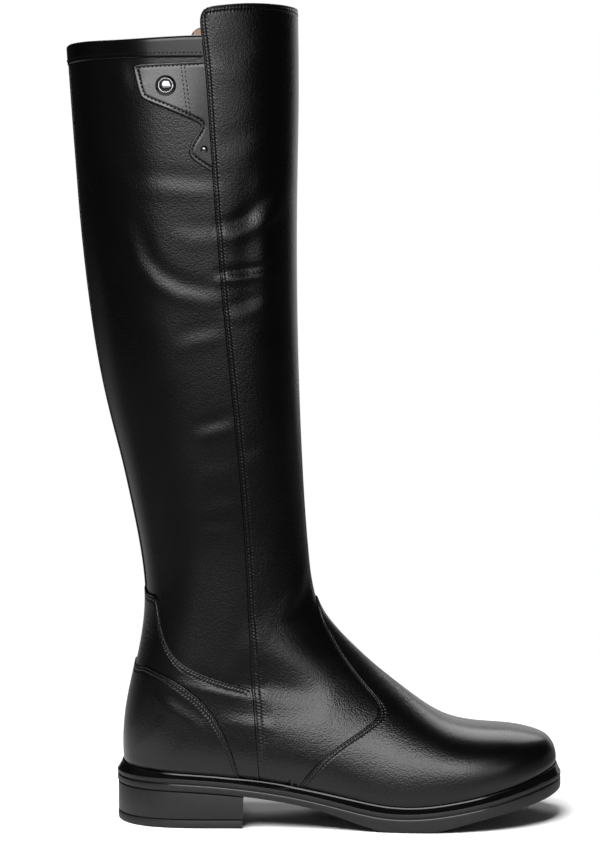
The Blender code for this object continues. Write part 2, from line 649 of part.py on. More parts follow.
def make_heel(boot, cutters, rubber, lift_rubber):
    """The block and the lift under it, on the sole's stations, with their front cut to the breast."""
    breast = make_breast(cutters)
    turns = plan_turns()
    behind = np.searchsorted(plan_edge(turns, 1)[0], HEEL_BREAST + BREAST_RAKE)
    block = [
        (HEEL_INSET + HEEL_EDGE, level(LIFT_HEIGHT + GAP)),
        (HEEL_INSET, level(LIFT_HEIGHT + GAP + HEEL_EDGE)),
        (HEEL_INSET, under_plus(-GAP)),
    ]
    lift = [
        (HEEL_INSET + LIFT_EDGE, level(0.0)),
        (HEEL_INSET, level(LIFT_EDGE)),
        (HEEL_INSET, level(LIFT_HEIGHT)),
    ]
    for name, levels, material in (("heel", block, rubber), ("top_lift", lift, lift_rubber)):
        piece = object_from(loft(plate(levels, turns[: behind + 1])), name, boot, material)
        boolean(piece, breast, "DIFFERENCE")


def make_turned(name, boot, metal, profile, spot, steps):
    """Metal trim turned about its axis, set square on the tab's leather."""
    skin = wrapped_form(GAP + PANEL)
    start = place((spot.along, -REACH, spot.height))
    seat, normal, _, _ = BVHTree.FromBMesh(skin).ray_cast(start, Vector((0, 1, 0)))
    skin.free()
    bm = bmesh.new()
    points = [bm.verts.new((p.radius * MM, 0, p.height * MM)) for p in profile]
    for one, two in zip(points, points[1:]):
        bm.edges.new((one, two))
    mesh = bpy.data.meshes.new(name)
    bm.to_mesh(mesh)
    bm.free()
    mesh.materials.append(metal)
    obj = bpy.data.objects.new(name, mesh)
    boot.objects.link(obj)
    obj.location = seat + normal * GAP * MM
    obj.rotation_euler = normal.to_track_quat("Z", "Y").to_euler()
    turn = obj.modifiers.new("turn", "SCREW")
    turn.steps = steps
    turn.render_steps = steps
    turn.use_merge_vertices = True
    turn.merge_threshold = 1e-5
    turn.use_smooth_shade = True


def build():
    clear_scene()
    boot = bpy.data.collections.new("knee_boot")
    cutters = bpy.data.collections.new("cutters")
    bpy.context.scene.collection.children.link(boot)
    bpy.context.scene.collection.children.link(cutters)
    leather = finish("black leather", (0.012, 0.012, 0.013), 0.35)
    coated = finish("coated welt", (0.010, 0.010, 0.010), 0.25)
    rubber = finish("charcoal rubber", (0.030, 0.030, 0.031), 0.6)
    lift_rubber = finish("lift rubber", (0.022, 0.022, 0.023), 0.65)
    lining = finish("tan lining", (0.42, 0.30, 0.22), 0.7)
    metal = finish("dark nickel", (0.30, 0.30, 0.31), 0.25, 1.0)
    make_outsole(boot, rubber)
    make_heel(boot, cutters, rubber, lift_rubber)
    make_insole(boot, lining)
    make_overlays(boot, cutters, leather)
    make_welt(boot, cutters, coated)
    make_turned("stud", boot, metal, STUD_PROFILE, STUD_SPOT, STUD_STEPS)
    make_turned("rivet", boot, metal, RIVET_PROFILE, RIVET_SPOT, RIVET_STEPS)


build()
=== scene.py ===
# %% [markdown]
# # A black knee boot with a low block heel
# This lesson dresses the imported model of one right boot: calf leather on a welted rubber sole. The packed
# solids fix the place and the size of every piece. Here each piece is made again on the same shoemaker's
# last, with the rolled edges, stitch rows and folds that a plain solid leaves out.

# %% The frame
import json
import math
from collections import namedtuple

import bmesh
import bpy
import numpy as np
from mathutils import Matrix, Vector
from mathutils.bvhtree import BVHTree

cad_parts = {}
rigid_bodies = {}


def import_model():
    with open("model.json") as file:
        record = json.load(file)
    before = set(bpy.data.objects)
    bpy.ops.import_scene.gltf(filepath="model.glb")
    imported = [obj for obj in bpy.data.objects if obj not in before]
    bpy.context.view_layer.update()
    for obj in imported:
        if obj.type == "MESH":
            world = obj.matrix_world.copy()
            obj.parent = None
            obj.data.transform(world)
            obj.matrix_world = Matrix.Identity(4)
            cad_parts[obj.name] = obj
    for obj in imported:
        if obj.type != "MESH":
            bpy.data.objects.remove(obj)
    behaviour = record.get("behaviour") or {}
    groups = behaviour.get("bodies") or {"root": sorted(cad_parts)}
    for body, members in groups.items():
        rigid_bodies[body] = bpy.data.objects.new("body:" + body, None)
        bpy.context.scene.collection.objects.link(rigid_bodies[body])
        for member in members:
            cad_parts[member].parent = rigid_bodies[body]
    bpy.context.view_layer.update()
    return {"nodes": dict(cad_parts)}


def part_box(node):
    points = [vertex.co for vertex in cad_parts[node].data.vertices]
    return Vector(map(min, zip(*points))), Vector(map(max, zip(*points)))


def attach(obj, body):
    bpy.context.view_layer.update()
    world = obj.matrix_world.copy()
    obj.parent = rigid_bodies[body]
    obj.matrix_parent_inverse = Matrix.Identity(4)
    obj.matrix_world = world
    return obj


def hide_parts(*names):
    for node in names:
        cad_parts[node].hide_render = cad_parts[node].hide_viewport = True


MM = 0.001
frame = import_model()
sole_back, sole_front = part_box("outsole")
stay_low, stay_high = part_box("back_stay")
SOLE_LENGTH = (sole_front.x - sole_back.x) / MM
ORIGIN = np.array([sole_back.x, (stay_low.y + stay_high.y) / 2, 0.0])


def world(points):
    """Points in millimetres from the back of the sole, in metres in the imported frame."""
    return np.asarray(points, float) * MM + ORIGIN


def table(row, *values):
    """A table whose rows have named columns."""
    return [row(*value) for value in values]


def unit(vectors):
    return vectors / np.maximum(np.linalg.norm(vectors, axis=-1, keepdims=True), 1e-9)


print("frame:", len(frame["nodes"]), "nodes, sole", round(SOLE_LENGTH, 1), "mm long")

# %% [markdown]
# ## Camera
# The photograph was taken from the outer side, a little over mid height and tilted slightly down. The
# camera stands there, with a long lens so that the near and the far side of the shaft keep almost the
# same size.

# %% The camera
CAMERA_SPOT = (107.5, -1200.0, 310.0)
CAMERA_TILT = 3.8
CAMERA_LENS = 86.92

camera = bpy.data.objects.new("camera", bpy.data.cameras.new("camera"))
camera.data.lens = CAMERA_LENS
camera.location = world(CAMERA_SPOT)
camera.rotation_euler = (math.radians(90 - CAMERA_TILT), 0, 0)
bpy.context.collection.objects.link(camera)
bpy.context.scene.camera = camera
bpy.context.scene.view_settings.view_transform = "Standard"
print("camera:", [round(value, 3) for value in camera.location])

# %% [markdown]
# ## Node maths
# Finishes are small sums of noise, cells and masks. A wrapper round a socket lets these be written as
# plain expressions, and one method adds any other node, its settings first and its values or links after
# them.


# %% A socket that can be added and multiplied
class Field:
    """A value in a node tree. Arithmetic on it adds Math nodes."""

    def __init__(self, tree, socket=None):
        self.tree = tree
        self.socket = socket

    def node(self, kind, settings, values, output=0):
        """Another node: its settings, the values or links of its sockets, and which output to go on with."""
        made = self.tree.nodes.new(kind)
        for name, value in settings.items():
            setattr(made, name, value)
        for key, value in values.items():
            if isinstance(value, Field):
                self.tree.links.new(value.socket, made.inputs[key])
            else:
                made.inputs[key].default_value = value
        return Field(self.tree, made.outputs[output])

    def math(self, operation, *values):
        return self.node("ShaderNodeMath", {"operation": operation}, dict(enumerate(values)))

    def __add__(self, other):
        return self.math("ADD", self, other)

    __radd__ = __add__

    def __sub__(self, other):
        return self.math("SUBTRACT", self, other)

    def __rsub__(self, other):
        return self.math("SUBTRACT", other, self)

    def __mul__(self, other):
        return self.math("MULTIPLY", self, other)

    __rmul__ = __mul__

    def ramp(self, low, high):
        """0 below low, 1 above high and smooth between."""
        ends = {"Value": self, "From Min": low, "From Max": high}
        return self.node("ShaderNodeMapRange", {"interpolation_type": "SMOOTHSTEP"}, ends)


def finish(name, **constants):
    """A Principled material with its constant sockets set, its shader and a starting point for its maths."""
    material = bpy.data.materials.new(name)
    material.use_nodes = True
    shader = material.node_tree.nodes["Principled BSDF"]
    for key, value in constants.items():
        shader.inputs[key.replace("_", " ")].default_value = value
    return material, shader, Field(material.node_tree)


def feed(shader, key, field):
    field.tree.links.new(field.socket, shader.inputs[key])


def object_place(start):
    return start.node("ShaderNodeTexCoord", {}, {}, "Object")


def noise(start, scale, detail=2.0):
    place = object_place(start)
    return start.node("ShaderNodeTexNoise", {}, {"Vector": place, "Scale": scale, "Detail": detail})


def raised(start, height, strength, distance):
    """A Bump node's normal over a height field."""
    values = {"Height": height, "Strength": strength, "Distance": distance}
    return start.node("ShaderNodeBump", {}, values)


# %% [markdown]
# ## Black calf
# The leather is dyed black calf with a fine pebble, polished to a half gloss. Rounded cells of 1 mm make
# the pebble and a wide noise lets the polish vary, as it does where hands have buffed it. The pebble is a
# bump and not a colour, because on the real leather it only shows where light glances off. It fades over
# the toe, where the leather is stretched smooth.

# %% Leather finishes
BLACK = (0.0010, 0.0010, 0.0011, 1.0)
PEBBLE = 0.0010
STRETCHED = (0.185, 0.225)
SMOOTHED = 0.75
GRAIN_DEPTH = 0.00022
STITCH_PITCH = 1.95
PUCKER_STRENGTH = 0.32
PUCKER_HEIGHT = 0.00012
PUCKER_NEAR = (0.6, 1.4)
PUCKER_FAR = (3.8, 6.0)
POLISH = 0.14


def calf(name, roughness, pebble_strength, **constants):
    """A black leather, puckered beside its stitch rows where a piece has them."""
    material, shader, start = finish(name, Base_Color=BLACK, **constants)
    place = object_place(start)
    cells = start.node(
        "ShaderNodeTexVoronoi", {"feature": "SMOOTH_F1"},
        {"Vector": place, "Scale": 1 / PEBBLE, "Smoothness": 0.2, "Randomness": 0.9}, "Distance",
    )
    wrinkle = noise(start, 420.0, 3.0)
    along = start.node("ShaderNodeSeparateXYZ", {}, {0: place}, "X")
    stretched = along.ramp(*[float(ORIGIN[0]) + end for end in STRETCHED])
    pebble = ((1 - cells) * 0.8 + wrinkle * 0.6) * (1 - stretched * SMOOTHED)
    grain = raised(start, pebble, pebble_strength, GRAIN_DEPTH)
    from_edge = start.node("ShaderNodeAttribute", {"attribute_name": "from_edge"}, {}, "Fac")
    along_edge = start.node("ShaderNodeAttribute", {"attribute_name": "along_edge"}, {}, "Fac")
    beside = from_edge.ramp(*PUCKER_NEAR) * (1 - from_edge.ramp(*PUCKER_FAR))
    pucker = from_edge.math("SINE", (along_edge + wrinkle * 0.8) * (2 * math.pi / STITCH_PITCH)) * beside
    sewn = {"Height": pucker, "Strength": PUCKER_STRENGTH, "Distance": PUCKER_HEIGHT, "Normal": grain}
    feed(shader, "Normal", start.node("ShaderNodeBump", {}, sewn))
    polish = noise(start, 26.0, 3.0)
    feed(shader, "Roughness", roughness - POLISH / 2 + polish * POLISH)
    return material


panel_calf = calf("panel_calf", 0.28, 0.5)
shaft_calf = calf("shaft_calf", 0.29, 0.38)
band_calf = calf("band_calf", 0.22, 0.06)
tab_calf = calf("tab_calf", 0.25, 0.12, Specular_IOR_Level=0.7)
print("leather finishes:", panel_calf.name, shaft_calf.name, band_calf.name, tab_calf.name)

# %% [markdown]
# ## Lining, thread, metal and rubber
# The lining is undyed tan leather with a matte, slightly blotched face. The thread is black and waxed.
# The stud is dark polished nickel with hairline marks. The welt is coated, and the sole is charcoal
# rubber with a faint moulded texture.


# %% Other finishes
def mottled(name, dark, light, scale, grain, grain_depth, **constants):
    """A finish whose colour wanders between two tones, with a fine raised grain."""
    material, shader, start = finish(name, **constants)
    tones = {"Factor": noise(start, scale, 4.0).ramp(0.3, 0.7), 6: dark, 7: light}
    feed(shader, "Base Color", start.node("ShaderNodeMix", {"data_type": "RGBA"}, tones, 2))
    feed(shader, "Normal", raised(start, noise(start, grain, 2.0), 0.3, grain_depth))
    return material


lining_tan = mottled(
    "lining_tan", (0.50, 0.33, 0.25, 1), (0.60, 0.43, 0.34, 1), 60.0, 1500.0, 0.0001, Roughness=0.7,
)
thread_black = mottled(
    "thread_black", (0.002, 0.002, 0.002, 1), (0.005, 0.005, 0.0052, 1), 900.0, 3000.0, 5e-5,
    Roughness=0.5, Specular_IOR_Level=0.25,
)
charcoal_sole = mottled(
    "charcoal_sole", (0.007, 0.007, 0.0073, 1), (0.0105, 0.0105, 0.0109, 1), 240.0, 2600.0, 4e-5,
    Roughness=0.5,
)
charcoal_lift = mottled(
    "charcoal_lift", (0.011, 0.011, 0.0115, 1), (0.016, 0.016, 0.0165, 1), 240.0, 2400.0, 5e-5,
    Roughness=0.58,
)

welt_coat, welt_shader, welt_start = finish("welt_coat", Base_Color=(0.003, 0.003, 0.003, 1.0))
feed(welt_shader, "Roughness", 0.10 + noise(welt_start, 180.0) * 0.10)

nickel, nickel_shader, nickel_start = finish("dark_nickel", Base_Color=(0.30, 0.30, 0.31, 1.0), Metallic=1.0)
feed(nickel_shader, "Roughness", 0.08 + noise(nickel_start, 900.0, 4.0) * 0.14)
print("finishes:", [material.name for material in bpy.data.materials])

# %% [markdown]
# ## The last
# All leather lies on one form, the last. It is a stack of sections from the toe to above the collar, each
# running from its tail (on the sole's edge or up the back) over both sides to its crest. A point of the
# form is named by its row in the table and its share of the way round: 0 at the outer tail, 0.5 at the
# crest, 1 at the inner tail. Tables are in millimetres, with x from the back of the sole.

# %% Tables of the sole and the last
TOE_SWING = 7.0
SWING_START = 90.0
FEATHER_INSET = 6.5
FEATHER_LIFT = -1.2
SEAT_SPREAD = 1.04
SWELL_BLEND = 2.0
FULL_SEAT = 0.995
SECTION_STEPS = 320
FORM_CHUNK = 6000
FINE_STEPS = 40

PlanRow = namedtuple("PlanRow", "turn lateral medial")
SOLE_PLAN = table(
    PlanRow,
    (0, 0.0, 0.0), (15, 14.8, 14.8), (30, 26.4, 26.2), (45, 30.8, 30.4), (60, 30.8, 29.6),
    (75, 31.2, 27.4), (90, 36.0, 33.0), (105, 43.0, 41.2), (120, 44.6, 43.4), (135, 40.6, 39.4),
    (150, 30.4, 29.6), (165, 16.0, 15.8), (180, 0.0, 0.0),
)
SideRow = namedtuple("SideRow", "along under seam rim")
SOLE_SIDE = table(
    SideRow,
    (0, 22.2, 27.0, 34.6), (12, 21.9, 26.8, 33.0), (30, 21.5, 26.5, 31.6), (52, 20.6, 25.6, 30.5),
    (74, 18.6, 23.4, 28.6), (96, 15.6, 20.4, 25.8), (116, 12.0, 16.8, 22.2), (134, 6.0, 12.6, 18.6),
    (147, 1.8, 9.8, 15.9), (158, -0.8, 8.3, 14.3), (171, -1.2, 8.2, 13.9), (184, -0.4, 9.2, 14.9),
    (197, 2.8, 11.0, 16.8), (211, 6.2, 13.4, 19.2), (225, 9.2, 16.6, 22.2), (239, 11.9, 19.8, 25.4),
    (252, 14.2, 22.6, 29.0), (262, 16.4, 23.8, 31.4),
)
EdgePoint = namedtuple("EdgePoint", "along height")
BACK_LINE = table(
    EdgePoint,
    (6.6, 27), (5.7, 36), (5.2, 48), (6.1, 60), (7.9, 72), (11.1, 86), (14.7, 102), (17.3, 118),
    (18.0, 134), (16.5, 150), (13.7, 168), (9.2, 190), (3.8, 215), (-3.0, 240), (-9.3, 270), (-14.3, 305),
    (-18.5, 345), (-21.8, 390), (-24.9, 435), (-27.8, 485),
)
FormRow = namedtuple("FormRow", "crest_x crest_z tail lateral medial belly crown round")
FORM = table(
    FormRow,
    (257.0, 29.5, 255.5, 0.0, 0.0, 0.30, 2.7, 2.4), (257.2, 35.0, 254.7, 0.0, 0.0, 0.30, 2.7, 2.4),
    (256.0, 41.0, 252.8, 0.0, 0.0, 0.30, 2.7, 2.4), (253.2, 44.9, 249.4, 0.0, 0.0, 0.32, 2.7, 2.4),
    (248.8, 47.2, 244.6, 0.0, 0.0, 0.35, 2.7, 2.4), (241.5, 49.1, 238.0, 0.0, 0.0, 0.37, 2.7, 2.4),
    (231.5, 51.0, 229.0, 0.0, 0.0, 0.36, 2.6, 2.4), (218.5, 51.6, 216.5, 0.0, 0.0, 0.31, 2.65, 2.4),
    (205.0, 53.2, 203.0, 0.0, 0.0, 0.30, 2.55, 2.4), (193.0, 56.8, 190.0, 0.0, 0.0, 0.28, 2.4, 2.4),
    (182.0, 63.3, 177.0, 34.0, 34.0, 0.25, 2.2, 2.4), (171.0, 71.8, 162.5, 35.5, 35.0, 0.225, 1.9, 2.4),
    (160.0, 80.5, 146.0, 34.6, 34.4, 0.24, 1.75, 2.3), (149.0, 89.4, 127.5, 33.6, 33.4, 0.27, 1.6, 2.3),
    (139.0, 98.8, 107.0, 32.8, 32.6, 0.29, 1.6, 2.3), (129.8, 108.0, 84.5, 32.3, 32.0, 0.27, 1.65, 2.3),
    (121.8, 117.0, 61.5, 32.2, 32.0, 0.28, 1.75, 2.3), (117.2, 125.4, 40.0, 32.2, 32.0, 0.29, 1.85, 2.3),
    (114.3, 133.6, 22.5, 32.2, 32.0, 0.32, 1.92, 2.3), (113.0, 142.0, 10.5, 32.2, 32.0, 0.35, 1.97, 2.3),
    (111.9, 150.5, 2.0, 32.2, 32.0, 0.38, 2.0, 2.3), (110.9, 160.0, -9.5, 32.2, 32.0, 0.41, 2.0, 2.3),
    (110.1, 170.0, -23.0, 32.2, 32.0, 0.44, 2.0, 2.25), (109.3, 181.0, -38.0, 32.2, 32.0, 0.45, 2.0, 2.2),
    (108.5, 193.0, -54.0, 32.3, 32.0, 0.45, 2.0, 2.15),
    (107.8, 206.0, -72.0, 32.6, 32.4, 0.45, 2.05, 2.1),
    (107.1, 220.0, -92.0, 33.4, 33.2, 0.46, 2.05, 2.1),
    (106.4, 236.0, -115.0, 35.0, 34.8, 0.46, 2.1, 2.1),
    (105.7, 256.0, -144.0, 37.5, 37.3, 0.46, 2.1, 2.1),
    (105.0, 282.0, -180.0, 40.4, 40.2, 0.46, 2.1, 2.1),
    (104.5, 312.0, -222.0, 42.9, 42.7, 0.46, 2.1, 2.1),
    (104.4, 345.0, -268.0, 44.8, 44.6, 0.46, 2.1, 2.1),
    (104.8, 380.0, -318.0, 46.0, 45.8, 0.46, 2.1, 2.1),
    (105.6, 414.0, -368.0, 46.8, 46.6, 0.46, 2.1, 2.1),
    (105.5, 446.0, -414.0, 47.3, 47.1, 0.46, 2.1, 2.1),
    (105.0, 480.0, -455.0, 47.6, 47.4, 0.46, 2.1, 2.1),
)
LAST_ROW = len(FORM) - 1
print("last:", len(FORM), "sections")


# %% Curves through the tables
def spline(values, t):
    """Uniform cubic B-spline of a table's column, at row numbers t."""
    p = np.asarray(values, float)
    p = np.concatenate([[2 * p[0] - p[1]], p, [2 * p[-1] - p[-2]]])
    t = np.clip(np.asarray(t, float), 0, len(values) - 1)
    i = np.minimum(t.astype(int), len(values) - 2)
    f = t - i
    near = (3 * f**3 - 6 * f**2 + 4) * p[i + 1] + (1 + 3 * f + 3 * f**2 - 3 * f**3) * p[i + 2]
    return ((1 - f) ** 3 * p[i] + near + f**3 * p[i + 3]) / 6


def column(rows, name):
    return [getattr(row, name) for row in rows]


def edge_curve(rows, t):
    """Places along and up on an edge's table, at row numbers t."""
    return spline(column(rows, "along"), t), spline(column(rows, "height"), t)


def line_through(rows, name, along, at):
    """Value of one column of a table against another, on a smooth curve through its rows."""
    t = np.linspace(0, len(rows) - 1, FINE_STEPS * len(rows))
    return np.interp(at, spline(column(rows, along), t), spline(column(rows, name), t))


def under_z(x):
    return np.maximum(line_through(SOLE_SIDE, "under", "along", x), 0.0)


def seam_z(x):
    return line_through(SOLE_SIDE, "seam", "along", x)


def rim_z(x):
    return line_through(SOLE_SIDE, "rim", "along", x)


def back_x(z):
    return line_through(BACK_LINE, "along", "height", z)


def centre_y(x):
    """The foot's centre line, which turns inwards towards the toe."""
    ahead = np.maximum(np.asarray(x, float) - SWING_START, 0) / (SOLE_LENGTH - SWING_START)
    return TOE_SWING * ahead**2


def plan_edge(turn, side):
    """The sole's outline about its centre line, on side -1 (outer) or +1 (inner), and on past its ends."""
    widths = column(SOLE_PLAN, "lateral" if side < 0 else "medial")
    folded = np.arccos(np.cos(turn))
    half = np.copysign(spline(widths, folded / math.pi * (len(widths) - 1)), np.sin(turn))
    return SOLE_LENGTH / 2 * (1 - np.cos(turn)), side * half


def plan_side(turn, side, inset=0.0):
    """Points of the sole's outline, moved in by inset and swung with the foot."""
    step = 1e-3
    before = plan_edge(turn - step, side)
    after = plan_edge(turn + step, side)
    dx = after[0] - before[0]
    dy = after[1] - before[1]
    length = np.hypot(dx, dy)
    x, y = plan_edge(turn, side)
    x = x + side * dy / length * inset
    return x, y - side * dx / length * inset + centre_y(x)


waist = [round(float(plan_side(math.pi / 2, side)[1]), 1) for side in (-1, 1)]
print("sole outline:", waist, "mm at the waist")

# %% [markdown]
# ## Points on the last
# One function turns rows and shares into points. Everything else asks it: the wall of the upper, each
# panel, the stitch rows and the metal trim, so they can't drift apart.

# %% The form
FEATHER_SIDES = {side: plan_side(np.linspace(0, math.pi, 400), side, FEATHER_INSET) for side in (-1, 1)}
SEAT_Z = float(seam_z(FEATHER_INSET)) + FEATHER_LIFT
TABLE_ROWS = np.linspace(0, LAST_ROW, FINE_STEPS * LAST_ROW)
TABLE_TAILS = spline(column(FORM, "tail"), TABLE_ROWS)


def feather_half(x, side):
    """Half width of the upper's lower edge at x."""
    px, py = FEATHER_SIDES[side]
    return np.maximum(side * (np.interp(x, px, py) - centre_y(np.clip(x, px[0], px[-1]))), 0.0)


def tail_row(along):
    """Row whose tail is at this place along the sole's edge."""
    return float(np.interp(-along, -TABLE_TAILS, TABLE_ROWS))


def back_row(height):
    """Row whose tail is at this height up the back."""
    return tail_row(SEAT_Z + FEATHER_INSET - height)


# The tail turns a corner at the back of the heel, so rows near it are averaged to keep the leather smooth.
SEAT_ROW = tail_row(FEATHER_INSET)
SEAT_SOFT = 1.5
TAIL_SOFT = 0.07
SOFT_STEPS = 7


def form_part(t, s):
    row = FormRow(*[spline(column(FORM, name), t) for name in FormRow._fields])
    on_sole = row.tail >= FEATHER_INSET
    height = SEAT_Z + FEATHER_INSET - row.tail
    tail_x = np.where(on_sole, row.tail, back_x(height))
    tail_z = np.where(on_sole, seam_z(row.tail) + FEATHER_LIFT, height)
    span = np.hypot(row.crest_x - tail_x, row.crest_z - tail_z)
    side = np.where(s < 0.5, -1.0, 1.0)
    width = np.where(side < 0, row.lateral, row.medial)
    seat = np.where(side < 0, feather_half(row.tail, -1), feather_half(row.tail, 1)) * on_sole
    plain = SEAT_SPREAD * seat
    swollen = 0.5 * (plain + width + np.sqrt((plain - width) ** 2 + SWELL_BLEND**2))
    widest = np.where(width > SWELL_BLEND, swollen, plain)
    fullness = np.minimum(seat / np.maximum(widest, 1e-9), FULL_SEAT)
    back = row.belly * span / (1 - fullness**row.round) ** (1 / row.round)
    up = np.linspace(0, 1, SECTION_STEPS)
    rise = span[:, None] * (up * up * (3 - 2 * up))
    level = rise - (row.belly * span)[:, None]
    power = np.where(level > 0, row.crown[:, None], row.round[:, None])
    reach = np.where(level > 0, ((1 - row.belly) * span)[:, None], back[:, None])
    half = widest[:, None] * (1 - np.minimum(np.abs(level) / reach, 1.0) ** power) ** (1 / power)
    walk = np.zeros_like(rise)
    walk[:, 1:] = np.cumsum(np.hypot(np.diff(rise), np.diff(half)), axis=1)
    goal = (1 - np.abs(2 * s - 1)) * walk[:, -1]
    i = np.clip(np.sum(walk <= goal[:, None], axis=1) - 1, 0, SECTION_STEPS - 2)
    all_rows = np.arange(len(t))
    f = (goal - walk[all_rows, i]) / np.maximum(walk[all_rows, i + 1] - walk[all_rows, i], 1e-12)
    up_share = ((1 - f) * rise[all_rows, i] + f * rise[all_rows, i + 1]) / span
    half_here = (1 - f) * half[all_rows, i] + f * half[all_rows, i + 1]
    x = tail_x + (row.crest_x - tail_x) * up_share
    return np.stack([x, centre_y(x) + side * half_here, tail_z + (row.crest_z - tail_z) * up_share], axis=-1)


def form_points(t, s):
    chunks = max(1, t.size // FORM_CHUNK)
    parts = zip(np.array_split(t, chunks), np.array_split(s, chunks))
    return np.concatenate([form_part(a, b) for a, b in parts])


def form(t, s):
    """Points of the last at rows t and shares s. A share below 0 is on the inner side of the back line."""
    t, s = np.broadcast_arrays(np.asarray(t, float), np.asarray(s, float))
    shape = t.shape
    t, s = t.ravel(), np.where(s < 0, s + 1, s).ravel()
    points = form_points(t, s)
    near = np.maximum(1 - np.abs(t - SEAT_ROW) / (2 * SEAT_SOFT), 0)
    off_tail = np.clip(np.minimum(s, 1 - s) / TAIL_SOFT, 0, 1)
    window = SEAT_SOFT * near * near * (3 - 2 * near) * off_tail * off_tail * (3 - 2 * off_tail)
    soft = window > 1e-3
    if soft.any():
        shifts = np.linspace(-1, 1, SOFT_STEPS)
        near_rows = [form_points(t[soft] + shift * window[soft], s[soft]) for shift in shifts]
        points[soft] = np.mean(near_rows, axis=0)
    return points.reshape(*shape, 3)


print("crest at the ankle:", np.round(form(18.0, 0.5), 1))

# %% [markdown]
# ## Seams
# Patterns are cut flat and seen best from the side, so each seam is a table of points along and up. A
# short search turns such a point into the last's rows and shares. The front panel's seam lies further
# back on the inner side, which a shear across the boot gives.

# %% Tables of the seams
SEAM_SHEAR = 0.11
SEAM_SIDE = -46.0
FRONT_EDGE = table(
    EdgePoint,
    (90.0, -12), (85.6, 30), (82.7, 60), (80.2, 110), (78.3, 160), (73.2, 220), (65.3, 290), (59.5, 360),
    (55.4, 430), (52.6, 452), (51.6, 459.0), (52.8, 464.2), (57.0, 466.8), (63.0, 467.6), (74.0, 469.2),
    (92.0, 470.6), (160.0, 472.0),
)
FRONT_CORNER = 11
COLLAR_EDGE = table(
    EdgePoint,
    (-60.0, 449.0), (-24.0, 448.2), (0.0, 447.2), (22.0, 447.8), (45.0, 449.3), (70.0, 450.0),
    (150.0, 450.0),
)
BAND_EDGE = table(
    EdgePoint,
    (-60.0, 438.9), (-10.0, 438.5), (20.0, 438.3), (70.0, 438.9),
)
VAMP_EDGE = table(
    EdgePoint,
    (120.6, 116.0), (123.6, 107.6), (129.2, 98.2), (137.3, 87.2), (145.3, 77.8), (152.4, 69.9),
    (153.6, 64.8), (149.6, 60.6), (138.4, 54.1), (124.0, 45.0), (114.9, 36.2), (108.6, 28.4),
    (102.0, 16.0),
)
VAMP_PEAK = 131.0
QUARTER_EDGE = table(
    EdgePoint,
    (8.0, 137.4), (21.5, 137.2), (25.0, 133.0), (26.2, 124.0), (28.4, 113.6), (32.6, 103.4), (39.5, 96.0),
    (49.5, 91.0), (62.0, 86.0), (80.0, 81.0), (110.0, 77.0),
)
COUNTER_EDGE = table(
    EdgePoint,
    (6.0, 94.6), (20.0, 93.8), (33.0, 88.6), (45.0, 81.0), (54.5, 72.0), (62.0, 60.5), (68.0, 47.0),
    (73.0, 30.0), (77.0, 10.0),
)
TAB_EDGE = table(
    EdgePoint,
    (75.0, 438.0), (52.9, 436.7), (34.0, 435.5), (16.8, 434.8), (15.6, 433.4), (17.6, 426.0),
    (19.8, 417.2), (21.8, 415.0), (36.0, 409.4), (51.4, 402.6), (53.0, 400.6), (50.2, 396.4),
    (47.0, 391.4), (45.2, 386.4), (47.0, 382.8), (50.4, 380.4), (58.0, 375.4), (75.0, 366.0),
)
PATH_STEPS = 12
print("seams:", len(FRONT_EDGE), "points on the front panel's edge,", len(TAB_EDGE), "on the tab's")

# %% From the side view to the last
LOOK_ROWS = np.linspace(0.3, LAST_ROW, 350)
LOOK_SHARES = np.linspace(0.01, 0.99, 60)
SEARCH_STEP = 2e-3


def side_share(share, side):
    """Share of the way round for a share of one side, from its tail to the crest."""
    return 0.5 * share if side < 0 else 1 - 0.5 * share


LOOK_POINTS = {side: form(LOOK_ROWS[:, None], side_share(LOOK_SHARES, side)[None, :]) for side in (-1, 1)}


def on_side(along, height, side=-1, shear=0.0):
    """Rows and shares of the points of the last that are seen at these places from the side."""
    along = np.atleast_1d(np.asarray(along, float))
    height = np.atleast_1d(np.asarray(height, float))

    def seen(points):
        return points[..., 0] + shear * (points[..., 1] - SEAM_SIDE), points[..., 2]

    look_x, look_z = seen(LOOK_POINTS[side])
    nearest = [np.argmin((look_x - x) ** 2 + (look_z - z) ** 2) for x, z in zip(along, height)]
    i, j = np.unravel_index(nearest, look_x.shape)
    t, share = LOOK_ROWS[i], LOOK_SHARES[j]
    for _ in range(8):
        x, z = seen(form(t, side_share(share, side)))
        x_up, z_up = seen(form(t + SEARCH_STEP, side_share(share, side)))
        x_round, z_round = seen(form(t, side_share(share + SEARCH_STEP, side)))
        a, b, c, d = (x_up - x), (x_round - x), (z_up - z), (z_round - z)
        turn = a * d - b * c
        turn = np.where(np.abs(turn) < 1e-9, 1e-9, turn) / SEARCH_STEP
        off_x, off_z = along - x, height - z
        t = np.clip(t + np.clip((d * off_x - b * off_z) / turn, -1, 1), 0, LAST_ROW - SEARCH_STEP)
        share = np.clip(share + np.clip((a * off_z - c * off_x) / turn, -0.1, 0.1), 0, 1 - SEARCH_STEP)
    return t, side_share(share, side)


def seam(rows, first, last, side=-1, shear=0.0):
    """Rows and shares along a seam's table, from one of its row numbers to another."""
    t = np.linspace(first, last, int(abs(last - first) * PATH_STEPS) + 2)
    return np.stack(on_side(*edge_curve(rows, t), side, shear), axis=-1)


def row_at(s, height, low=20.0):
    """Rows at shares s where the last reaches the height that a function gives for x and y."""
    s = np.asarray(s, float)
    below, above = np.full(s.shape, low), np.full(s.shape, float(LAST_ROW))
    for _ in range(24):
        middle = (below + above) / 2
        points = form(middle, s)
        under = points[..., 2] < height(points[..., 0], points[..., 1])
        below, above = np.where(under, middle, below), np.where(under, above, middle)
    return (below + above) / 2


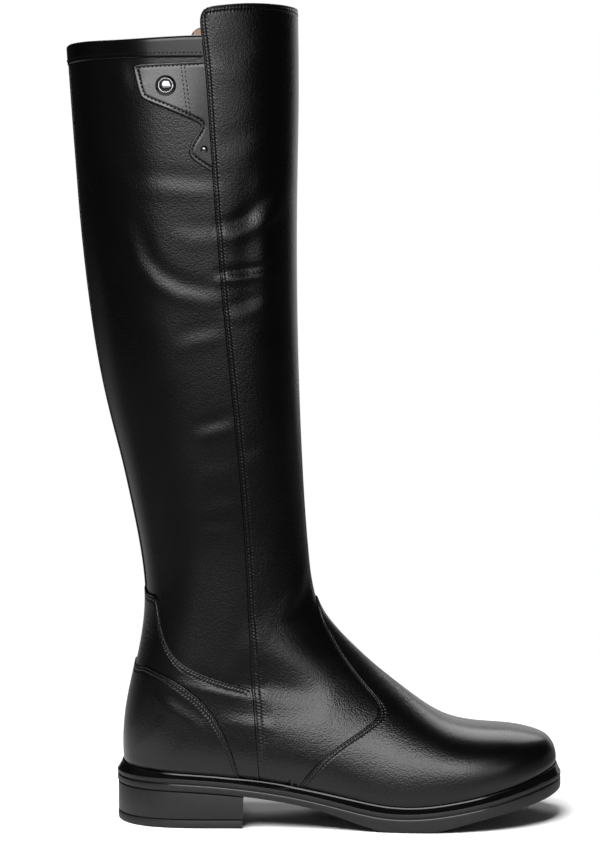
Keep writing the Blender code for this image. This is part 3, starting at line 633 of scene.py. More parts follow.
test_row, test_share = on_side(60.0, 300.0)
print("a point on the shaft:", np.round(form(test_row, test_share)[0], 2))

# %% [markdown]
# ## Patches
# A leather piece is a patch of the last between its seams. Its grid is even by distance, with extra lines
# close to each edge that shows, where the leather rolls over and is sewn. Two lines of every such edge
# are the stitch rows themselves.

# %% Grids that follow edges
EDGE_LINES = np.array(
    [0, 0.15, 0.4, 0.75, 1.1, 1.35, 1.5, 1.65, 1.95, 2.5, 3.2, 3.45, 3.6, 3.75, 4.1, 4.9, 6.2]
)
STITCH_ROWS = (1.5, 3.6)
STITCH_LINES = [int(np.argmin(np.abs(EDGE_LINES - row))) for row in STITCH_ROWS]
PLAIN_EDGE = np.array([0.0])
COARSE = np.linspace(0, 1, 41)
Grid = namedtuple("Grid", "u v left right bottom top")


def walked(points, axis):
    """Distance walked along the lines of a grid."""
    steps = np.linalg.norm(np.diff(points, axis=axis), axis=-1)
    return np.insert(np.cumsum(steps, axis=axis), 0, 0.0, axis=axis)


def lines_at(length, count, start, stop):
    """Distances along a line: the edge lines at both ends, and even steps between them."""
    fit = min(1.0, 0.45 * length / max(start[-1], stop[-1], 1e-9))
    even = np.linspace(start[-1] * fit, length - stop[-1] * fit, count + 2)[1:-1]
    return np.concatenate([start * fit, even, length - stop[::-1] * fit])


def fitted(route, columns, rows, left=PLAIN_EDGE, right=PLAIN_EDGE, bottom=PLAIN_EDGE, top=PLAIN_EDGE):
    """A grid on a patch, with edge lines where they are asked for and each point's distance to all edges."""
    coarse = form(*route(COARSE[None, :], COARSE[:, None]))
    across, upward = walked(coarse, 1), walked(coarse, 0)
    wide, high = across.mean(axis=0), upward.mean(axis=1)
    u_mean = np.interp(lines_at(wide[-1], columns, left, right), wide, COARSE)
    v_mean = np.interp(lines_at(high[-1], rows, bottom, top), high, COARSE)
    grid = Grid(*np.zeros((6, len(v_mean), len(u_mean))))
    for i, v in enumerate(v_mean):
        walk = np.array([np.interp(v, COARSE, across[:, k]) for k in range(len(COARSE))])
        place = lines_at(walk[-1], columns, left, right)
        grid.u[i] = np.interp(place, walk, COARSE)
        grid.left[i], grid.right[i] = place, walk[-1] - place
    for j, u in enumerate(u_mean):
        walk = np.array([np.interp(u, COARSE, upward[k]) for k in range(len(COARSE))])
        place = lines_at(walk[-1], rows, bottom, top)
        grid.v[:, j] = np.interp(place, walk, COARSE)
        grid.bottom[:, j], grid.top[:, j] = place, walk[-1] - place
    return grid


def evenly(curve, count=240):
    """A curve of rows and shares with its points spaced evenly on the last."""
    curve = np.asarray(curve, float)
    walk = walked(form(curve[:, 0], curve[:, 1]), 0)
    even = np.linspace(0, walk[-1], count)
    return np.stack([np.interp(even, walk, curve[:, k]) for k in (0, 1)], axis=-1)


def at(curve, share):
    places = np.linspace(0, 1, len(curve))
    return np.stack([np.interp(share, places, curve[:, k]) for k in (0, 1)])


def between(lower, upper):
    """A patch of straight lines from one curve to another."""
    def route(u, v):
        u, v = np.broadcast_arrays(u, v)
        return tuple((1 - v) * at(lower, u) + v * at(upper, u))
    return route


ROW_FADE = 3
SHARE_FADE = 8


def framed(bottom, top, left, right):
    """A patch inside four curves that meet at their corners. The bend of its foot fades soon further up."""
    def bend(curve, u):
        return at(curve, u) - (1 - u) * curve[0][:, None, None] - u * curve[-1][:, None, None]

    def route(u, v):
        u, v = np.broadcast_arrays(u, v)
        fade = np.stack([(1 - v) ** ROW_FADE, (1 - v) ** SHARE_FADE])
        return tuple((1 - u) * at(left, v) + u * at(right, v) + fade * bend(bottom, u) + v * bend(top, u))
    return route


def both_sides(curve):
    """A curve from the outer side to the back line, carried on to the inner side as its mirror image."""
    inner = curve[-2::-1] * np.array([1.0, -1.0])
    inner[:, 1] = np.minimum(inner[:, 1], -1e-9)
    return evenly(np.concatenate([curve, inner]))


print("edge lines:", len(EDGE_LINES), "with stitch rows", STITCH_ROWS, "mm from the edge")

# %% [markdown]
# ## Folds
# The shaft stands empty, so its leather sags into a few soft folds over the ankle and the calf. Each is
# placed as a path seen from the outer side: a trough above the path and a ridge below it, which
# fade out at both ends. A negative lift swaps the two. The inner side has the same folds, a little higher
# and weaker.

# %% Table of the folds
Fold = namedtuple("Fold", "lift width path")
FOLDS = table(
    Fold,
    (0.52, 5.6, [(10, 352), (15, 340), (20, 326), (29, 316), (40, 310), (54, 307), (68, 308)]),
    (0.27, 6.0, [(10, 370), (30, 369.5), (48, 368), (70, 367)]),
    (0.20, 6.0, [(34, 345), (48, 341), (66, 342)]),
    (0.26, 5.5, [(36, 280), (50, 284), (66, 287)]),
    (0.34, 5.0, [(46, 229), (58, 232), (72, 236)]),
    (0.10, 6.0, [(48, 208), (72, 211)]),
    (0.12, 6.0, [(50, 187), (72, 190)]),
    (0.10, 5.0, [(50, 174), (72, 176)]),
    (0.25, 8.0, [(-14, 372), (-5, 334), (2, 302)]),
    (0.22, 9.0, [(-6, 402), (6, 384), (12, 358)]),
    (0.9, 5.6, [(58, 341.5), (70, 343.5), (80, 348.5), (88, 357), (97, 371)]),
    (0.85, 3.0, [(58, 317.0), (75, 318.5), (95, 322)]),
    (0.40, 4.8, [(64, 296), (77, 300), (92, 306)]),
    (0.75, 8.0, [(83, 286), (82, 312), (82, 345), (83, 378)]),
    (0.40, 6.0, [(7, 437), (11, 430), (14, 421)]),
    (-1.35, 16.0, [(68, 99), (84, 95), (98, 90), (112, 85), (126, 81)]),
    (0.18, 6.0, [(70, 213), (92, 221)]),
    (0.25, 8.0, [(60, 384), (77, 392), (95, 404)]),
    (0.30, 9.0, [(58, 440), (70, 436), (84, 440)]),
    (0.45, 5.5, [(113, 152), (108, 134), (98, 117)]),
    (0.50, 4.0, [(34, 89), (52, 83.5), (70, 80), (92, 78), (118, 73)]),
    (0.30, 4.5, [(60, 66), (84, 63), (110, 60)]),
    (0.32, 5.0, [(24, 82), (34, 74), (46, 66), (56, 58)]),
)
INNER_RISE = 14.0
INNER_SHARE = 0.8
SIDE_BLEND = 22.0


def fold_lift(along, height, fold):
    """How far one fold moves the leather out at places seen from the side."""
    path = np.array(fold.path, float)
    total = walked(path, 0)
    nearest = np.full(along.shape, np.inf)
    signed = np.zeros(along.shape)
    share = np.zeros(along.shape)
    for k, (a, b) in enumerate(zip(path, path[1:])):
        step = b - a
        f = np.clip(((along - a[0]) * step[0] + (height - a[1]) * step[1]) / (step @ step), 0, 1)
        off_x, off_z = along - a[0] - f * step[0], height - a[1] - f * step[1]
        distance = np.hypot(off_x, off_z)
        closer = distance < nearest
        nearest = np.where(closer, distance, nearest)
        signed = np.where(closer, np.copysign(distance, step[0] * off_z - step[1] * off_x), signed)
        share = np.where(closer, (total[k] + f * (total[k + 1] - total[k])) / total[-1], share)
    q = signed / fold.width
    return -fold.lift * math.sqrt(2 * math.e) * q * np.exp(-q * q) * np.sin(math.pi * share) ** 0.8


def folded(points):
    """How far the folds move points of the last out."""
    x, y, z = points[..., 0], points[..., 1], points[..., 2]
    outer = np.clip(0.5 - (y - centre_y(x)) / SIDE_BLEND, 0, 1)
    lift = np.zeros(x.shape)
    for fold in FOLDS:
        lift += outer * fold_lift(x, z, fold)
        lift += (1 - outer) * INNER_SHARE * fold_lift(x, z - INNER_RISE, fold)
    return lift


print("folds:", len(FOLDS), "deepest", max(abs(fold.lift) for fold in FOLDS), "mm")

# %% [markdown]
# ## The tuck over the welt
# A shoemaker pulls the leather tight round the last and under it, so just above the welt it turns in and
# leaves a narrow dark channel. The leather is moved in where it would lie too close to the sole's
# outline.

# %% The tuck
TUCK_INSET = 5.9
TUCK_HEIGHT = 5.0
OUTLINE = np.concatenate([
    np.stack(plan_side(np.linspace(0, math.pi, 300), -1), axis=-1),
    np.stack(plan_side(np.linspace(math.pi, 0, 300)[1:-1], 1), axis=-1),
])


def outline_inset(x, y):
    """Distance of places from the sole's outline, positive inside it."""
    apart = np.sqrt(np.min((x[:, None] - OUTLINE[:, 0]) ** 2 + (y[:, None] - OUTLINE[:, 1]) ** 2, axis=1))
    turn = np.arccos(np.clip(1 - 2 * x / SOLE_LENGTH, -1, 1))
    half = np.where(y < centre_y(x), -plan_edge(turn, -1)[1], plan_edge(turn, 1)[1])
    inside = (np.abs(y - centre_y(x)) < half) & (x > 0) & (x < SOLE_LENGTH)
    return np.where(inside, apart, -apart)


def tucked(points):
    """How far points of the last are pulled in just over the welt."""
    flat = points.reshape(-1, 3)
    above = (flat[:, 2] - rim_z(flat[:, 0])) / TUCK_HEIGHT
    pull = np.zeros(len(flat))
    low = np.flatnonzero(above < 1)
    for part in np.array_split(low, 1 + len(low) // FORM_CHUNK):
        q = np.clip(above[part], 0, 1)
        lacking = np.maximum(TUCK_INSET - outline_inset(flat[part, 0], flat[part, 1]), 0)
        pull[part] = lacking * (1 - np.sqrt(q * (2 - q)))
    return pull.reshape(points.shape[:-1])


print("tuck at the waist:", np.round(tucked(form(15.0, np.array([0.0, 0.02, 0.04, 0.06]))), 1), "mm")

# %% [markdown]
# ## From patch to leather
# The patch is moved out of the last by the gap under it and its own thickness. Close to an edge that
# shows it rolls down in a quarter circle, and each stitch row pulls a shallow groove. The outer face is
# extruded from the inner one, which closes the piece with one operator.

# %% Sheets
GAP = 0.3
PANEL = 1.0
LAP = 1.8
ROLL = 0.9
EDGE_SHARE = 0.3
GROOVE_DEPTH = 0.22
GROOVE_WIDTH = 0.38
SHARP_ANGLE = math.radians(50)
Sheet = namedtuple("Sheet", "outer normal")
made = {}


def skin_normals(points):
    """Unit normals of a grid of points of the last, pointing out of it."""
    normal = np.cross(np.gradient(points, axis=1), np.gradient(points, axis=0))
    normal = unit(normal)
    inside = np.stack([points[..., 0] * 0.85 + 10, centre_y(points[..., 0]), points[..., 2] - 20], axis=-1)
    return normal * np.copysign(1.0, np.sum(normal * (points - inside)))


def rolled(distance):
    """Share of the thickness at a distance from an edge that shows."""
    q = np.clip(distance / ROLL, 0, 1)
    return EDGE_SHARE + (1 - EDGE_SHARE) * np.sqrt(1 - (1 - q) ** 2)


def grooves(distance):
    return sum(GROOVE_DEPTH * np.exp(-(((distance - row) / GROOVE_WIDTH) ** 2)) for row in STITCH_ROWS)


def add_object(bm, name, node, slot, *materials):
    """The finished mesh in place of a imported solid, smooth but for its sharp edges, at the origin."""
    mesh = bpy.data.meshes.new(name)
    bm.to_mesh(mesh)
    bm.free()
    mesh.shade_smooth()
    mesh.set_sharp_from_angle(angle=SHARP_ANGLE)
    for material in materials:
        mesh.materials.append(material)
    piece = bpy.data.objects.new(name, mesh)
    bpy.context.collection.objects.link(piece)
    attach(piece, "root")
    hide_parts(node)
    print(piece.name, len(piece.data.polygons), "faces")
    return piece


def thicken(bm, outer, inner, lined=False):
    """Close a sheet: its vertices name their spots, and the outer face is extruded from the inner one."""
    spot = bm.verts.layers.int["spot"]
    for v in bm.verts:
        v.co = inner[v[spot]]
    bmesh.ops.remove_doubles(bm, verts=bm.verts, dist=1e-6)
    grown = bmesh.ops.extrude_face_region(bm, geom=bm.faces[:], use_keep_orig=True)
    fresh = {part for part in grown["geom"] if isinstance(part, bmesh.types.BMVert)}
    for v in fresh:
        v.co = outer[v[spot]]
    if lined:
        for face in bm.faces:
            face.material_index = int(not any(v in fresh for v in face.verts))
    bmesh.ops.recalc_face_normals(bm, faces=bm.faces)
    if bm.calc_volume(signed=True) < 0:
        bmesh.ops.reverse_faces(bm, faces=bm.faces)


def wrapped(outer, inner, lined=False):
    """A closed sheet from a grid wrapped on two faces of points."""
    rows, columns = outer.shape[:2]
    bm = bmesh.new()
    spot = bm.verts.layers.int.new("spot")
    bmesh.ops.create_grid(bm, x_segments=columns - 1, y_segments=rows - 1, size=0.5)
    for v in bm.verts:
        v[spot] = round((v.co.y + 0.5) * (rows - 1)) * columns + round((v.co.x + 0.5) * (columns - 1))
    thicken(bm, world(outer).reshape(-1, 3), world(inner).reshape(-1, 3), lined)
    return bm


def mark_seams(piece, from_edge, along_edge):
    """Keep how far each point is from the shown edges, and how far along them, for the finish to use."""
    spots = np.zeros(len(piece.data.vertices), int)
    piece.data.attributes["spot"].data.foreach_get("value", spots)
    for name, values in (("from_edge", from_edge), ("along_edge", along_edge)):
        piece.data.attributes.new(name, "FLOAT", "POINT").data.foreach_set("value", values.ravel()[spots])


def sew_on(node, route, grid, thickness, edges):
    """A leather piece on the last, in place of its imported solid."""
    base = form(*route(grid.u, grid.v))
    normal = skin_normals(base)
    flat = np.linalg.norm(normal, axis=-1) < 0.5
    if flat[0].any():
        normal[0] = unit(normal[1] + normal[1][::-1])
    distances = np.array([getattr(grid, edge) for edge in edges])
    distance = distances.min(axis=0)
    along = {"left": grid.bottom, "right": grid.bottom, "bottom": grid.left, "top": grid.left}
    along_edge = np.choose(distances.argmin(axis=0), [along[edge] for edge in edges])
    lift = folded(base) - tucked(base)
    top = GAP + thickness * rolled(distance) - grooves(distance) + lift
    outer = base + normal * top[..., None]
    inner = base + normal * (GAP / 2 + lift)[..., None]
    piece = add_object(wrapped(outer, inner), node + "_leather", node, "panel_leather", panel_calf)
    mark_seams(piece, distance, along_edge)
    made[node] = Sheet(outer, normal)


# %% [markdown]
# ## Front panel
# The shin piece runs from the sole up over the collar, where its top is raised. Its two seams are the
# long edges that show, so they get edge lines and two stitch rows, and so does its top.


# %% Front panel
def height_of(rows, shear=0.0):
    """A height for each place along the boot, from an edge's table."""
    return lambda x, y: line_through(rows, "height", "along", x + shear * (y - SEAM_SIDE))


def seam_row_at(rows, height):
    """Row number at a height, on a seam's table that goes up."""
    t = np.linspace(0, len(rows) - 1, FINE_STEPS * len(rows))
    return float(np.interp(height, spline(column(rows, "height"), t), t))


FRONT_START = 1.2
FRONT_FOOT = 86.3
FRONT_FOOT_INNER = 78.4
FRONT_TOP = FRONT_EDGE[FRONT_CORNER:]
front_left, front_right = [
    np.vstack([[tail_row(foot), share], seam(FRONT_EDGE, FRONT_START, FRONT_CORNER, side, SEAM_SHEAR)])
    for foot, share, side in ((FRONT_FOOT, 0.0, -1), (FRONT_FOOT_INNER, 1.0, 1))
]

VAMP_FOOT = 105.0
VAMP_SPAN = (11.4, 1.0)
VAMP_TIP_ROWS = [(16.75, 0.481), (17.2, 0.489)]
peak_row = float(np.interp(VAMP_PEAK, form(TABLE_ROWS, 0.5)[:, 2], TABLE_ROWS))
vamp_outer = np.vstack([
    [tail_row(VAMP_FOOT), 0.0], seam(VAMP_EDGE, *VAMP_SPAN), *VAMP_TIP_ROWS, [peak_row, 0.5],
])
vamp_inner = vamp_outer[-2::-1] * [1, -1] + [0, 1]
vamp_line = np.vstack([vamp_outer, vamp_inner])

foot_rows = np.linspace(0, 1, 12)[:-1, None]
front_bottom = np.vstack([
    (1 - foot_rows) * front_left[0] + foot_rows * vamp_outer[0], vamp_line,
    ((1 - foot_rows) * front_right[0] + foot_rows * vamp_inner[-1])[::-1],
])
top_outer = seam(FRONT_EDGE, FRONT_CORNER, FRONT_CORNER + 2, -1, SEAM_SHEAR)
top_inner = seam(FRONT_EDGE, FRONT_CORNER + 2, FRONT_CORNER, 1, SEAM_SHEAR)
top_shares = np.linspace(top_outer[-1, 1], top_inner[0, 1], 60)[1:-1]
top_rows = row_at(top_shares, height_of(FRONT_TOP, SEAM_SHEAR))
front_top = np.vstack([top_outer, np.stack([top_rows, top_shares], axis=-1), top_inner])

front_route = framed(*[evenly(curve) for curve in (front_bottom, front_top, front_left, front_right)])
front_grid = fitted(front_route, 60, 230, left=EDGE_LINES, right=EDGE_LINES, top=EDGE_LINES)
sew_on("front_panel", front_route, front_grid, PANEL, ("left", "right", "top"))

# %% [markdown]
# ## Vamp
# The shin piece runs from the sole up over the collar, where its top is raised. Its two seams are the
# long edges that show, so they get edge lines and two stitch rows. Its top gets edge lines and two grooves,
# sewn along the one further from the edge. It is lapped over the front panel, so it
# is the thicker leather, and its curved edge carries two stitch rows. Its grid starts at the tip of the
# toe, where both sides meet in one line.

# %% Vamp
vamp_top = evenly(vamp_line)
vamp_toe = np.stack([np.zeros(len(vamp_top)), vamp_top[:, 1]], axis=-1)
vamp_route = between(vamp_toe, vamp_top)
vamp_grid = fitted(vamp_route, 110, 110, top=EDGE_LINES)
sew_on("vamp", vamp_route, vamp_grid, LAP, ("top",))

# %% [markdown]
# ## Quarter and counter
# The quarter wraps the ankle from seam to seam, and the counter is lapped over it round the heel. Both
# run across the back in one piece, so their grids go from the outer side over the back line to the inner
# one.

# %% Counter
COUNTER_FOOT = 74.6
COUNTER_SPAN = (7.3, 0.95)
COUNTER_BACK = 94.9
counter_edge = np.vstack([
    [tail_row(COUNTER_FOOT), 0.0], seam(COUNTER_EDGE, *COUNTER_SPAN), [back_row(COUNTER_BACK), 0.0],
])
counter_foot = np.stack([np.linspace(tail_row(COUNTER_FOOT), SEAT_ROW, 60), np.full(60, 1e-9)], axis=-1)
counter_route = between(both_sides(counter_foot), both_sides(counter_edge))
counter_grid = fitted(counter_route, 120, 48, top=EDGE_LINES)
sew_on("counter", counter_route, counter_grid, LAP, ("top",))

# %% Quarter
QUARTER_CORNER = 80.0
QUARTER_SPAN = (8.9, 1.6)
QUARTER_BACK = 137.4
UNDER_PANEL = 9.0
corner_row = seam_row_at(FRONT_EDGE[:9], QUARTER_CORNER)
quarter_top = np.vstack([
    [tail_row(FRONT_FOOT - 0.4), 0.0], seam(FRONT_EDGE, FRONT_START, corner_row, -1, SEAM_SHEAR),
    seam(QUARTER_EDGE, *QUARTER_SPAN), [back_row(QUARTER_BACK), 0.0],
])
quarter_route = between(both_sides(counter_edge), both_sides(quarter_top))
quarter_grid = fitted(quarter_route, 150, 16, top=EDGE_LINES)
quarter_rim = form(*quarter_route(quarter_grid.u, quarter_grid.v))[-1]
under_panel = np.clip((QUARTER_CORNER + 1.5 - quarter_rim[:, 2]) / 3.0, 0, 1)
quarter_grid.top[:] += UNDER_PANEL * under_panel
sew_on("quarter", quarter_route, quarter_grid, PANEL, ("top",))

# %% [markdown]
# ## Back stay
# A narrow strip covers the seam down the centre of the back, from the collar band to the quarter.

# %% Back stay
STAY_HALF = 4.6
STAY_THICK = 0.6
STAY_SPAN = (136.8, 438.8)
stay_rows = np.linspace(*[back_row(height) for height in STAY_SPAN], 120)
half_round = walked(form(stay_rows[:, None], np.linspace(0, 0.5, 60)[None, :]), 1)[:, -1]
stay_share = STAY_HALF * 0.5 / half_round
stay_left = np.stack([stay_rows, stay_share], axis=-1)
stay_route = between(evenly(stay_left), evenly(stay_left * [1, -1]))
stay_grid = fitted(stay_route, 150, 8, bottom=EDGE_LINES[:7], top=EDGE_LINES[:7])
sew_on("back_stay", stay_route, stay_grid, STAY_THICK, ("bottom", "top"))

# %% [markdown]
# ## The shaft behind it all
# The base of the upper is one wall of leather and lining, open at the collar and underneath. It shows
# between the panels and inside the collar. Its collar steps down behind the front panel, hidden under
# that panel's edge.

# %% Upper
WALL = 2.0
STEP_LAP = 1.2
STEP_HEIGHT = 450.0
FOOT_TOP = 120.0
LEVEL_ROW = 33.0


def share_at_seam(height, side):
    """Share of the way round where the front panel's seam passes a height."""
    row = seam_row_at(FRONT_EDGE[:10], height)
    return float(seam(FRONT_EDGE, row, row, side, SEAM_SHEAR)[0, 1])


outer_seam, inner_seam = [share_at_seam(STEP_HEIGHT, side) for side in (-1, 1)]
lap_share = STEP_LAP * 0.5 / half_round[-1]
upper_shares = np.concatenate([
    np.linspace(0, outer_seam + lap_share, 52),
    np.linspace(outer_seam + 1.4 * lap_share, inner_seam - 1.4 * lap_share, 50),
    np.linspace(inner_seam - lap_share, 1, 52),
])
collar_rows = row_at(upper_shares, height_of(COLLAR_EDGE))
raised_rows = row_at(upper_shares, height_of(FRONT_TOP, SEAM_SHEAR)) - 0.02
is_front = (upper_shares > outer_seam + 1.2 * lap_share) & (upper_shares < inner_seam - 1.2 * lap_share)
rim_rows = np.where(is_front, raised_rows, collar_rows)
foot_part = np.linspace(0, back_row(FOOT_TOP), 60)[:-1]
shaft_part = np.linspace(back_row(FOOT_TOP), LEVEL_ROW, 120)
rim_part = np.linspace(0, 1, 10)[1:, None]
upper_rows = np.concatenate([
    np.repeat(np.concatenate([foot_part, shaft_part])[:, None], len(upper_shares), axis=1),
    LEVEL_ROW + rim_part * (rim_rows - LEVEL_ROW)[None, :],
])
upper_base = form(upper_rows, upper_shares[None, :])
upper_normal = skin_normals(upper_base)
closed = upper_rows[:, 0] >= SEAT_ROW
meeting = unit(upper_normal[:, 0] + upper_normal[:, -1])
upper_normal[closed, 0] = upper_normal[closed, -1] = meeting[closed]
upper_normal[0] = unit(upper_normal[1] + upper_normal[1][::-1])
upper_lift = (folded(upper_base) - tucked(upper_base))[..., None]
upper_outer = upper_base + upper_normal * upper_lift
upper_inner = upper_base + upper_normal * (upper_lift - WALL)
upper_bm = wrapped(upper_outer, upper_inner, lined=True)
add_object(upper_bm, "upper_leather", "upper", "base_leather", shaft_calf, lining_tan)

# %% [markdown]
# ## Collar band
# The back half of the collar is bound with a smooth, glossy strip that is folded over the edge and sewn
# with a zigzag along its lower side. Its grid goes up the outside, over the rim in a half round and down
# the lining.

# %% Collar band
BAND_INSIDE = 9.0
BAND_SKIN = 0.7
RIM_HEIGHT = 0.9
band_shares = (outer_seam, inner_seam - 1)


def band_curve(rows):
    shares = np.linspace(*band_shares, 160)
    return np.stack([row_at(np.where(shares < 0, shares + 1, shares), height_of(rows)), shares], axis=-1)


band_route = between(evenly(band_curve(BAND_EDGE)), evenly(band_curve(COLLAR_EDGE)))
band_grid = fitted(band_route, 150, 5, bottom=EDGE_LINES[:11])
band_base = form(*band_route(band_grid.u, band_grid.v))
band_normal = skin_normals(band_base)
band_up = unit(np.gradient(band_base, axis=0)[-1])
band_lift = folded(band_base)
outside = GAP + PANEL * rolled(band_grid.bottom)
rim_middle = (GAP + PANEL - WALL - GAP - BAND_SKIN) / 2
rim_reach = GAP + PANEL - rim_middle


def over_the_rim(reach, height):
    """Rows of the band over the collar's edge and down inside it."""
    turns = np.linspace(0, math.pi, 9)[1:]
    lift = band_lift[-1]
    rows = [
        band_base[-1] + band_normal[-1] * (rim_middle + lift + reach * math.cos(turn))[:, None]
        + band_up * height * math.sin(turn) for turn in turns
    ]
    down = np.linspace(0, BAND_INSIDE, 6)[1:]
    return np.array(rows + [rows[-1] - band_up * drop for drop in down])


band_outer = np.concatenate([
    band_base + band_normal * (outside + band_lift)[..., None],
    over_the_rim(rim_reach, RIM_HEIGHT + BAND_SKIN),
])
band_inner = np.concatenate([
    band_base + band_normal * (GAP / 2 + band_lift)[..., None],
    over_the_rim(rim_reach - BAND_SKIN, RIM_HEIGHT),
])
band_bm = wrapped(band_outer, band_inner)
add_object(band_bm, "collar_band_leather", "collar_band", "panel_leather", band_calf)
made["collar_band"] = Sheet(band_outer[: len(band_base)], band_normal)

# %% [markdown]
# ## Tab
# The shaped, padded tab comes out from under the front panel's edge. It is cut flat, as a maker cuts it:
# a face with the tab's outline, inset a few times for its rolled edge, sliced into small cells so that it
# can bend, and then laid on the last.

# %% Tab
TAB_THICK = 1.2
TAB_TIP_STAND = 1.5
TAB_LOW_STAND = 2.1
TAB_CURL = 1.1
TAB_TIP = (53.0, 37.0)
TAB_CURLED = (33.0, 17.0)
TAB_LOW = ([376.0, 396.0, 406.0, 437.0], [0.15, 0.3, 1.0, 0.0])
TAB_THIN = 0.45
TAB_ROLL = 0.5
TAB_STITCH = 1.9
TAB_GROOVE = 0.2
TAB_GROOVE_WIDTH = 0.5
TAB_BLEND = 20.0
TAB_INSETS = [0.12, 0.18, 0.25, 0.25]
TAB_CELL = 0.5


def form_normals(t, s):
    """Normals of the last at scattered points."""
    step_t, step_s = 0.02, 0.004
    along = form(t + step_t, s) - form(t - step_t, s)
    round_it = form(t, s + step_s) - form(t, s - step_s)
    normal = unit(np.cross(round_it, along))
    return normal * np.copysign(1.0, -normal[..., 1:2])


def on_leather(places, offset):
    """Points and normals on the outer side of the shaft, at places along and up, moved out by offset."""
    t, s = on_side(places[:, 0], places[:, 1])
    base, normal = form(t, s), form_normals(t, s)
    return base + normal * (offset + folded(base))[:, None], normal


tab_t = np.linspace(0, len(TAB_EDGE) - 1, PATH_STEPS * (len(TAB_EDGE) - 1) + 1)
tab_path = np.stack(edge_curve(TAB_EDGE, tab_t), axis=-1)
seam_along, seam_height = edge_curve(FRONT_EDGE, np.linspace(0, FRONT_CORNER - 1, 400))
seam_along -= GAP
tab_free = tab_path[tab_path[:, 0] < np.interp(tab_path[:, 1], seam_height, seam_along)]
side_heights = np.linspace(tab_free[-1, 1], tab_free[0, 1], 26)[1:-1]
tab_seam = np.stack([np.interp(side_heights, seam_height, seam_along), side_heights], axis=-1)


def to_outline(places):
    """Distance of flat places from the tab's free edge."""
    a, b = tab_free[:-1], tab_free[1:]
    step = b - a
    f = np.einsum("pkc,kc->pk", places[:, None] - a, step) / np.sum(step * step, axis=1)
    nearest = a + np.clip(f, 0, 1)[..., None] * step
    return np.linalg.norm(places[:, None] - nearest, axis=-1).min(axis=1)


def tab_heights(places):
    """Heights of the tab's two faces. The stiff tab stands off at its tip and lower edge."""
    free = np.clip((np.interp(places[:, 1], seam_height, seam_along) - places[:, 0]) / TAB_BLEND, 0, 1)
    tip, curl = [np.clip((start - places[:, 0]) / reach, 0, 1) for start, reach in (TAB_TIP, TAB_CURLED)]
    low = np.interp(places[:, 1], *TAB_LOW)
    under = GAP / 2 + (TAB_TIP_STAND * tip + TAB_CURL * curl**2 + TAB_LOW_STAND * low) * free
    return under, under + GAP / 2 + TAB_THICK * (TAB_THIN + (1 - TAB_THIN) * free)


tab_bm = bmesh.new()
tab_spot = tab_bm.verts.layers.int.new("spot")
blank = tab_bm.faces.new([tab_bm.verts.new((x, z, 0)) for x, z in np.vstack([tab_free, tab_seam])])
for inset in TAB_INSETS:
    bmesh.ops.inset_region(tab_bm, faces=[blank], thickness=inset, use_even_offset=True, use_boundary=True)
for axis, (low, high) in enumerate(zip(tab_free.min(axis=0), tab_free.max(axis=0))):
    for place in np.arange(low, high, TAB_CELL)[1:]:
        across = Vector((axis == 0, axis == 1, 0))
        everything = tab_bm.verts[:] + tab_bm.edges[:] + tab_bm.faces[:]
        bmesh.ops.bisect_plane(tab_bm, geom=everything, plane_co=across * place, plane_no=across)
tab_places = np.array([v.co[:2] for v in tab_bm.verts])
for i, v in enumerate(tab_bm.verts):
    v[tab_spot] = i
tab_distance = to_outline(tab_places)
tab_groove = TAB_GROOVE * np.exp(-(((tab_distance - TAB_STITCH) / TAB_GROOVE_WIDTH) ** 2))
tab_under, tab_top = tab_heights(tab_places)
tab_rise = (tab_top - tab_under) * rolled(tab_distance * ROLL / TAB_ROLL)
tab_outer, _ = on_leather(tab_places, tab_under + tab_rise - tab_groove)
tab_inner, _ = on_leather(tab_places, tab_under)
thicken(tab_bm, world(tab_outer), world(tab_inner))
add_object(tab_bm, "tab_leather", "tab", "panel_leather", tab_calf)

# %% [markdown]
# ## Stud and rivet
# The stud is a turned cap with a sunk ring round a low dome, and the rivet is a small domed head. A
# turned shape is a profile spun about its axis. Then it is set square on the tab's leather.

# %% Metal trim
TurnedPoint = namedtuple("TurnedPoint", "radius height")
STUD_SPOT = EdgePoint(33.2, 422.8)
STUD_PROFILE = table(
    TurnedPoint,
    (0.0, 2.25), (0.9, 2.21), (1.8, 2.1), (2.6, 1.93), (3.2, 1.72), (3.5, 1.5), (3.65, 1.36), (3.8, 1.36),
    (3.92, 1.44), (4.06, 1.42), (4.6, 1.14), (5.1, 0.86), (5.5, 0.6), (5.75, 0.34), (5.8, 0.0),
)
RIVET_SPOT = EdgePoint(54.0, 388.0)
RIVET_PROFILE = table(
    TurnedPoint,
    (0.0, 1.3), (0.6, 1.25), (1.1, 1.1), (1.55, 0.8), (1.9, 0.45), (2.1, 0.0),
)


def turned(node, profile, spot, steps):
    """A turned metal piece on the tab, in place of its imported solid."""
    bm = bmesh.new()
    points = [bm.verts.new((p.radius * MM, 0, p.height * MM)) for p in profile]
    edges = [bm.edges.new(pair) for pair in zip(points, points[1:])]
    bmesh.ops.spin(
        bm, geom=points + edges, cent=(0, 0, 0), axis=(0, 0, 1), dvec=(0, 0, 0),
        angle=2 * math.pi, steps=steps, use_merge=True,
    )
    bmesh.ops.remove_doubles(bm, verts=bm.verts, dist=1e-7)
    bmesh.ops.holes_fill(bm, edges=[e for e in bm.edges if e.is_boundary])
    bmesh.ops.recalc_face_normals(bm, faces=bm.faces)
    corners = np.array([spot]) + [[0, 0], [1, 0], [0, 1]]
    (seat, ahead, above), _ = on_leather(corners, tab_heights(corners)[1])
    facing = Vector(np.cross(ahead - seat, above - seat)).to_track_quat("Z", "Y").to_matrix().to_4x4()
    bmesh.ops.transform(bm, matrix=Matrix.Translation(Vector(world(seat))) @ facing, verts=bm.verts)
    add_object(bm, node + "_metal", node, "trim_metal", nickel)


turned("stud", STUD_PROFILE, STUD_SPOT, 48)
turned("rivet", RIVET_PROFILE, RIVET_SPOT, 28)

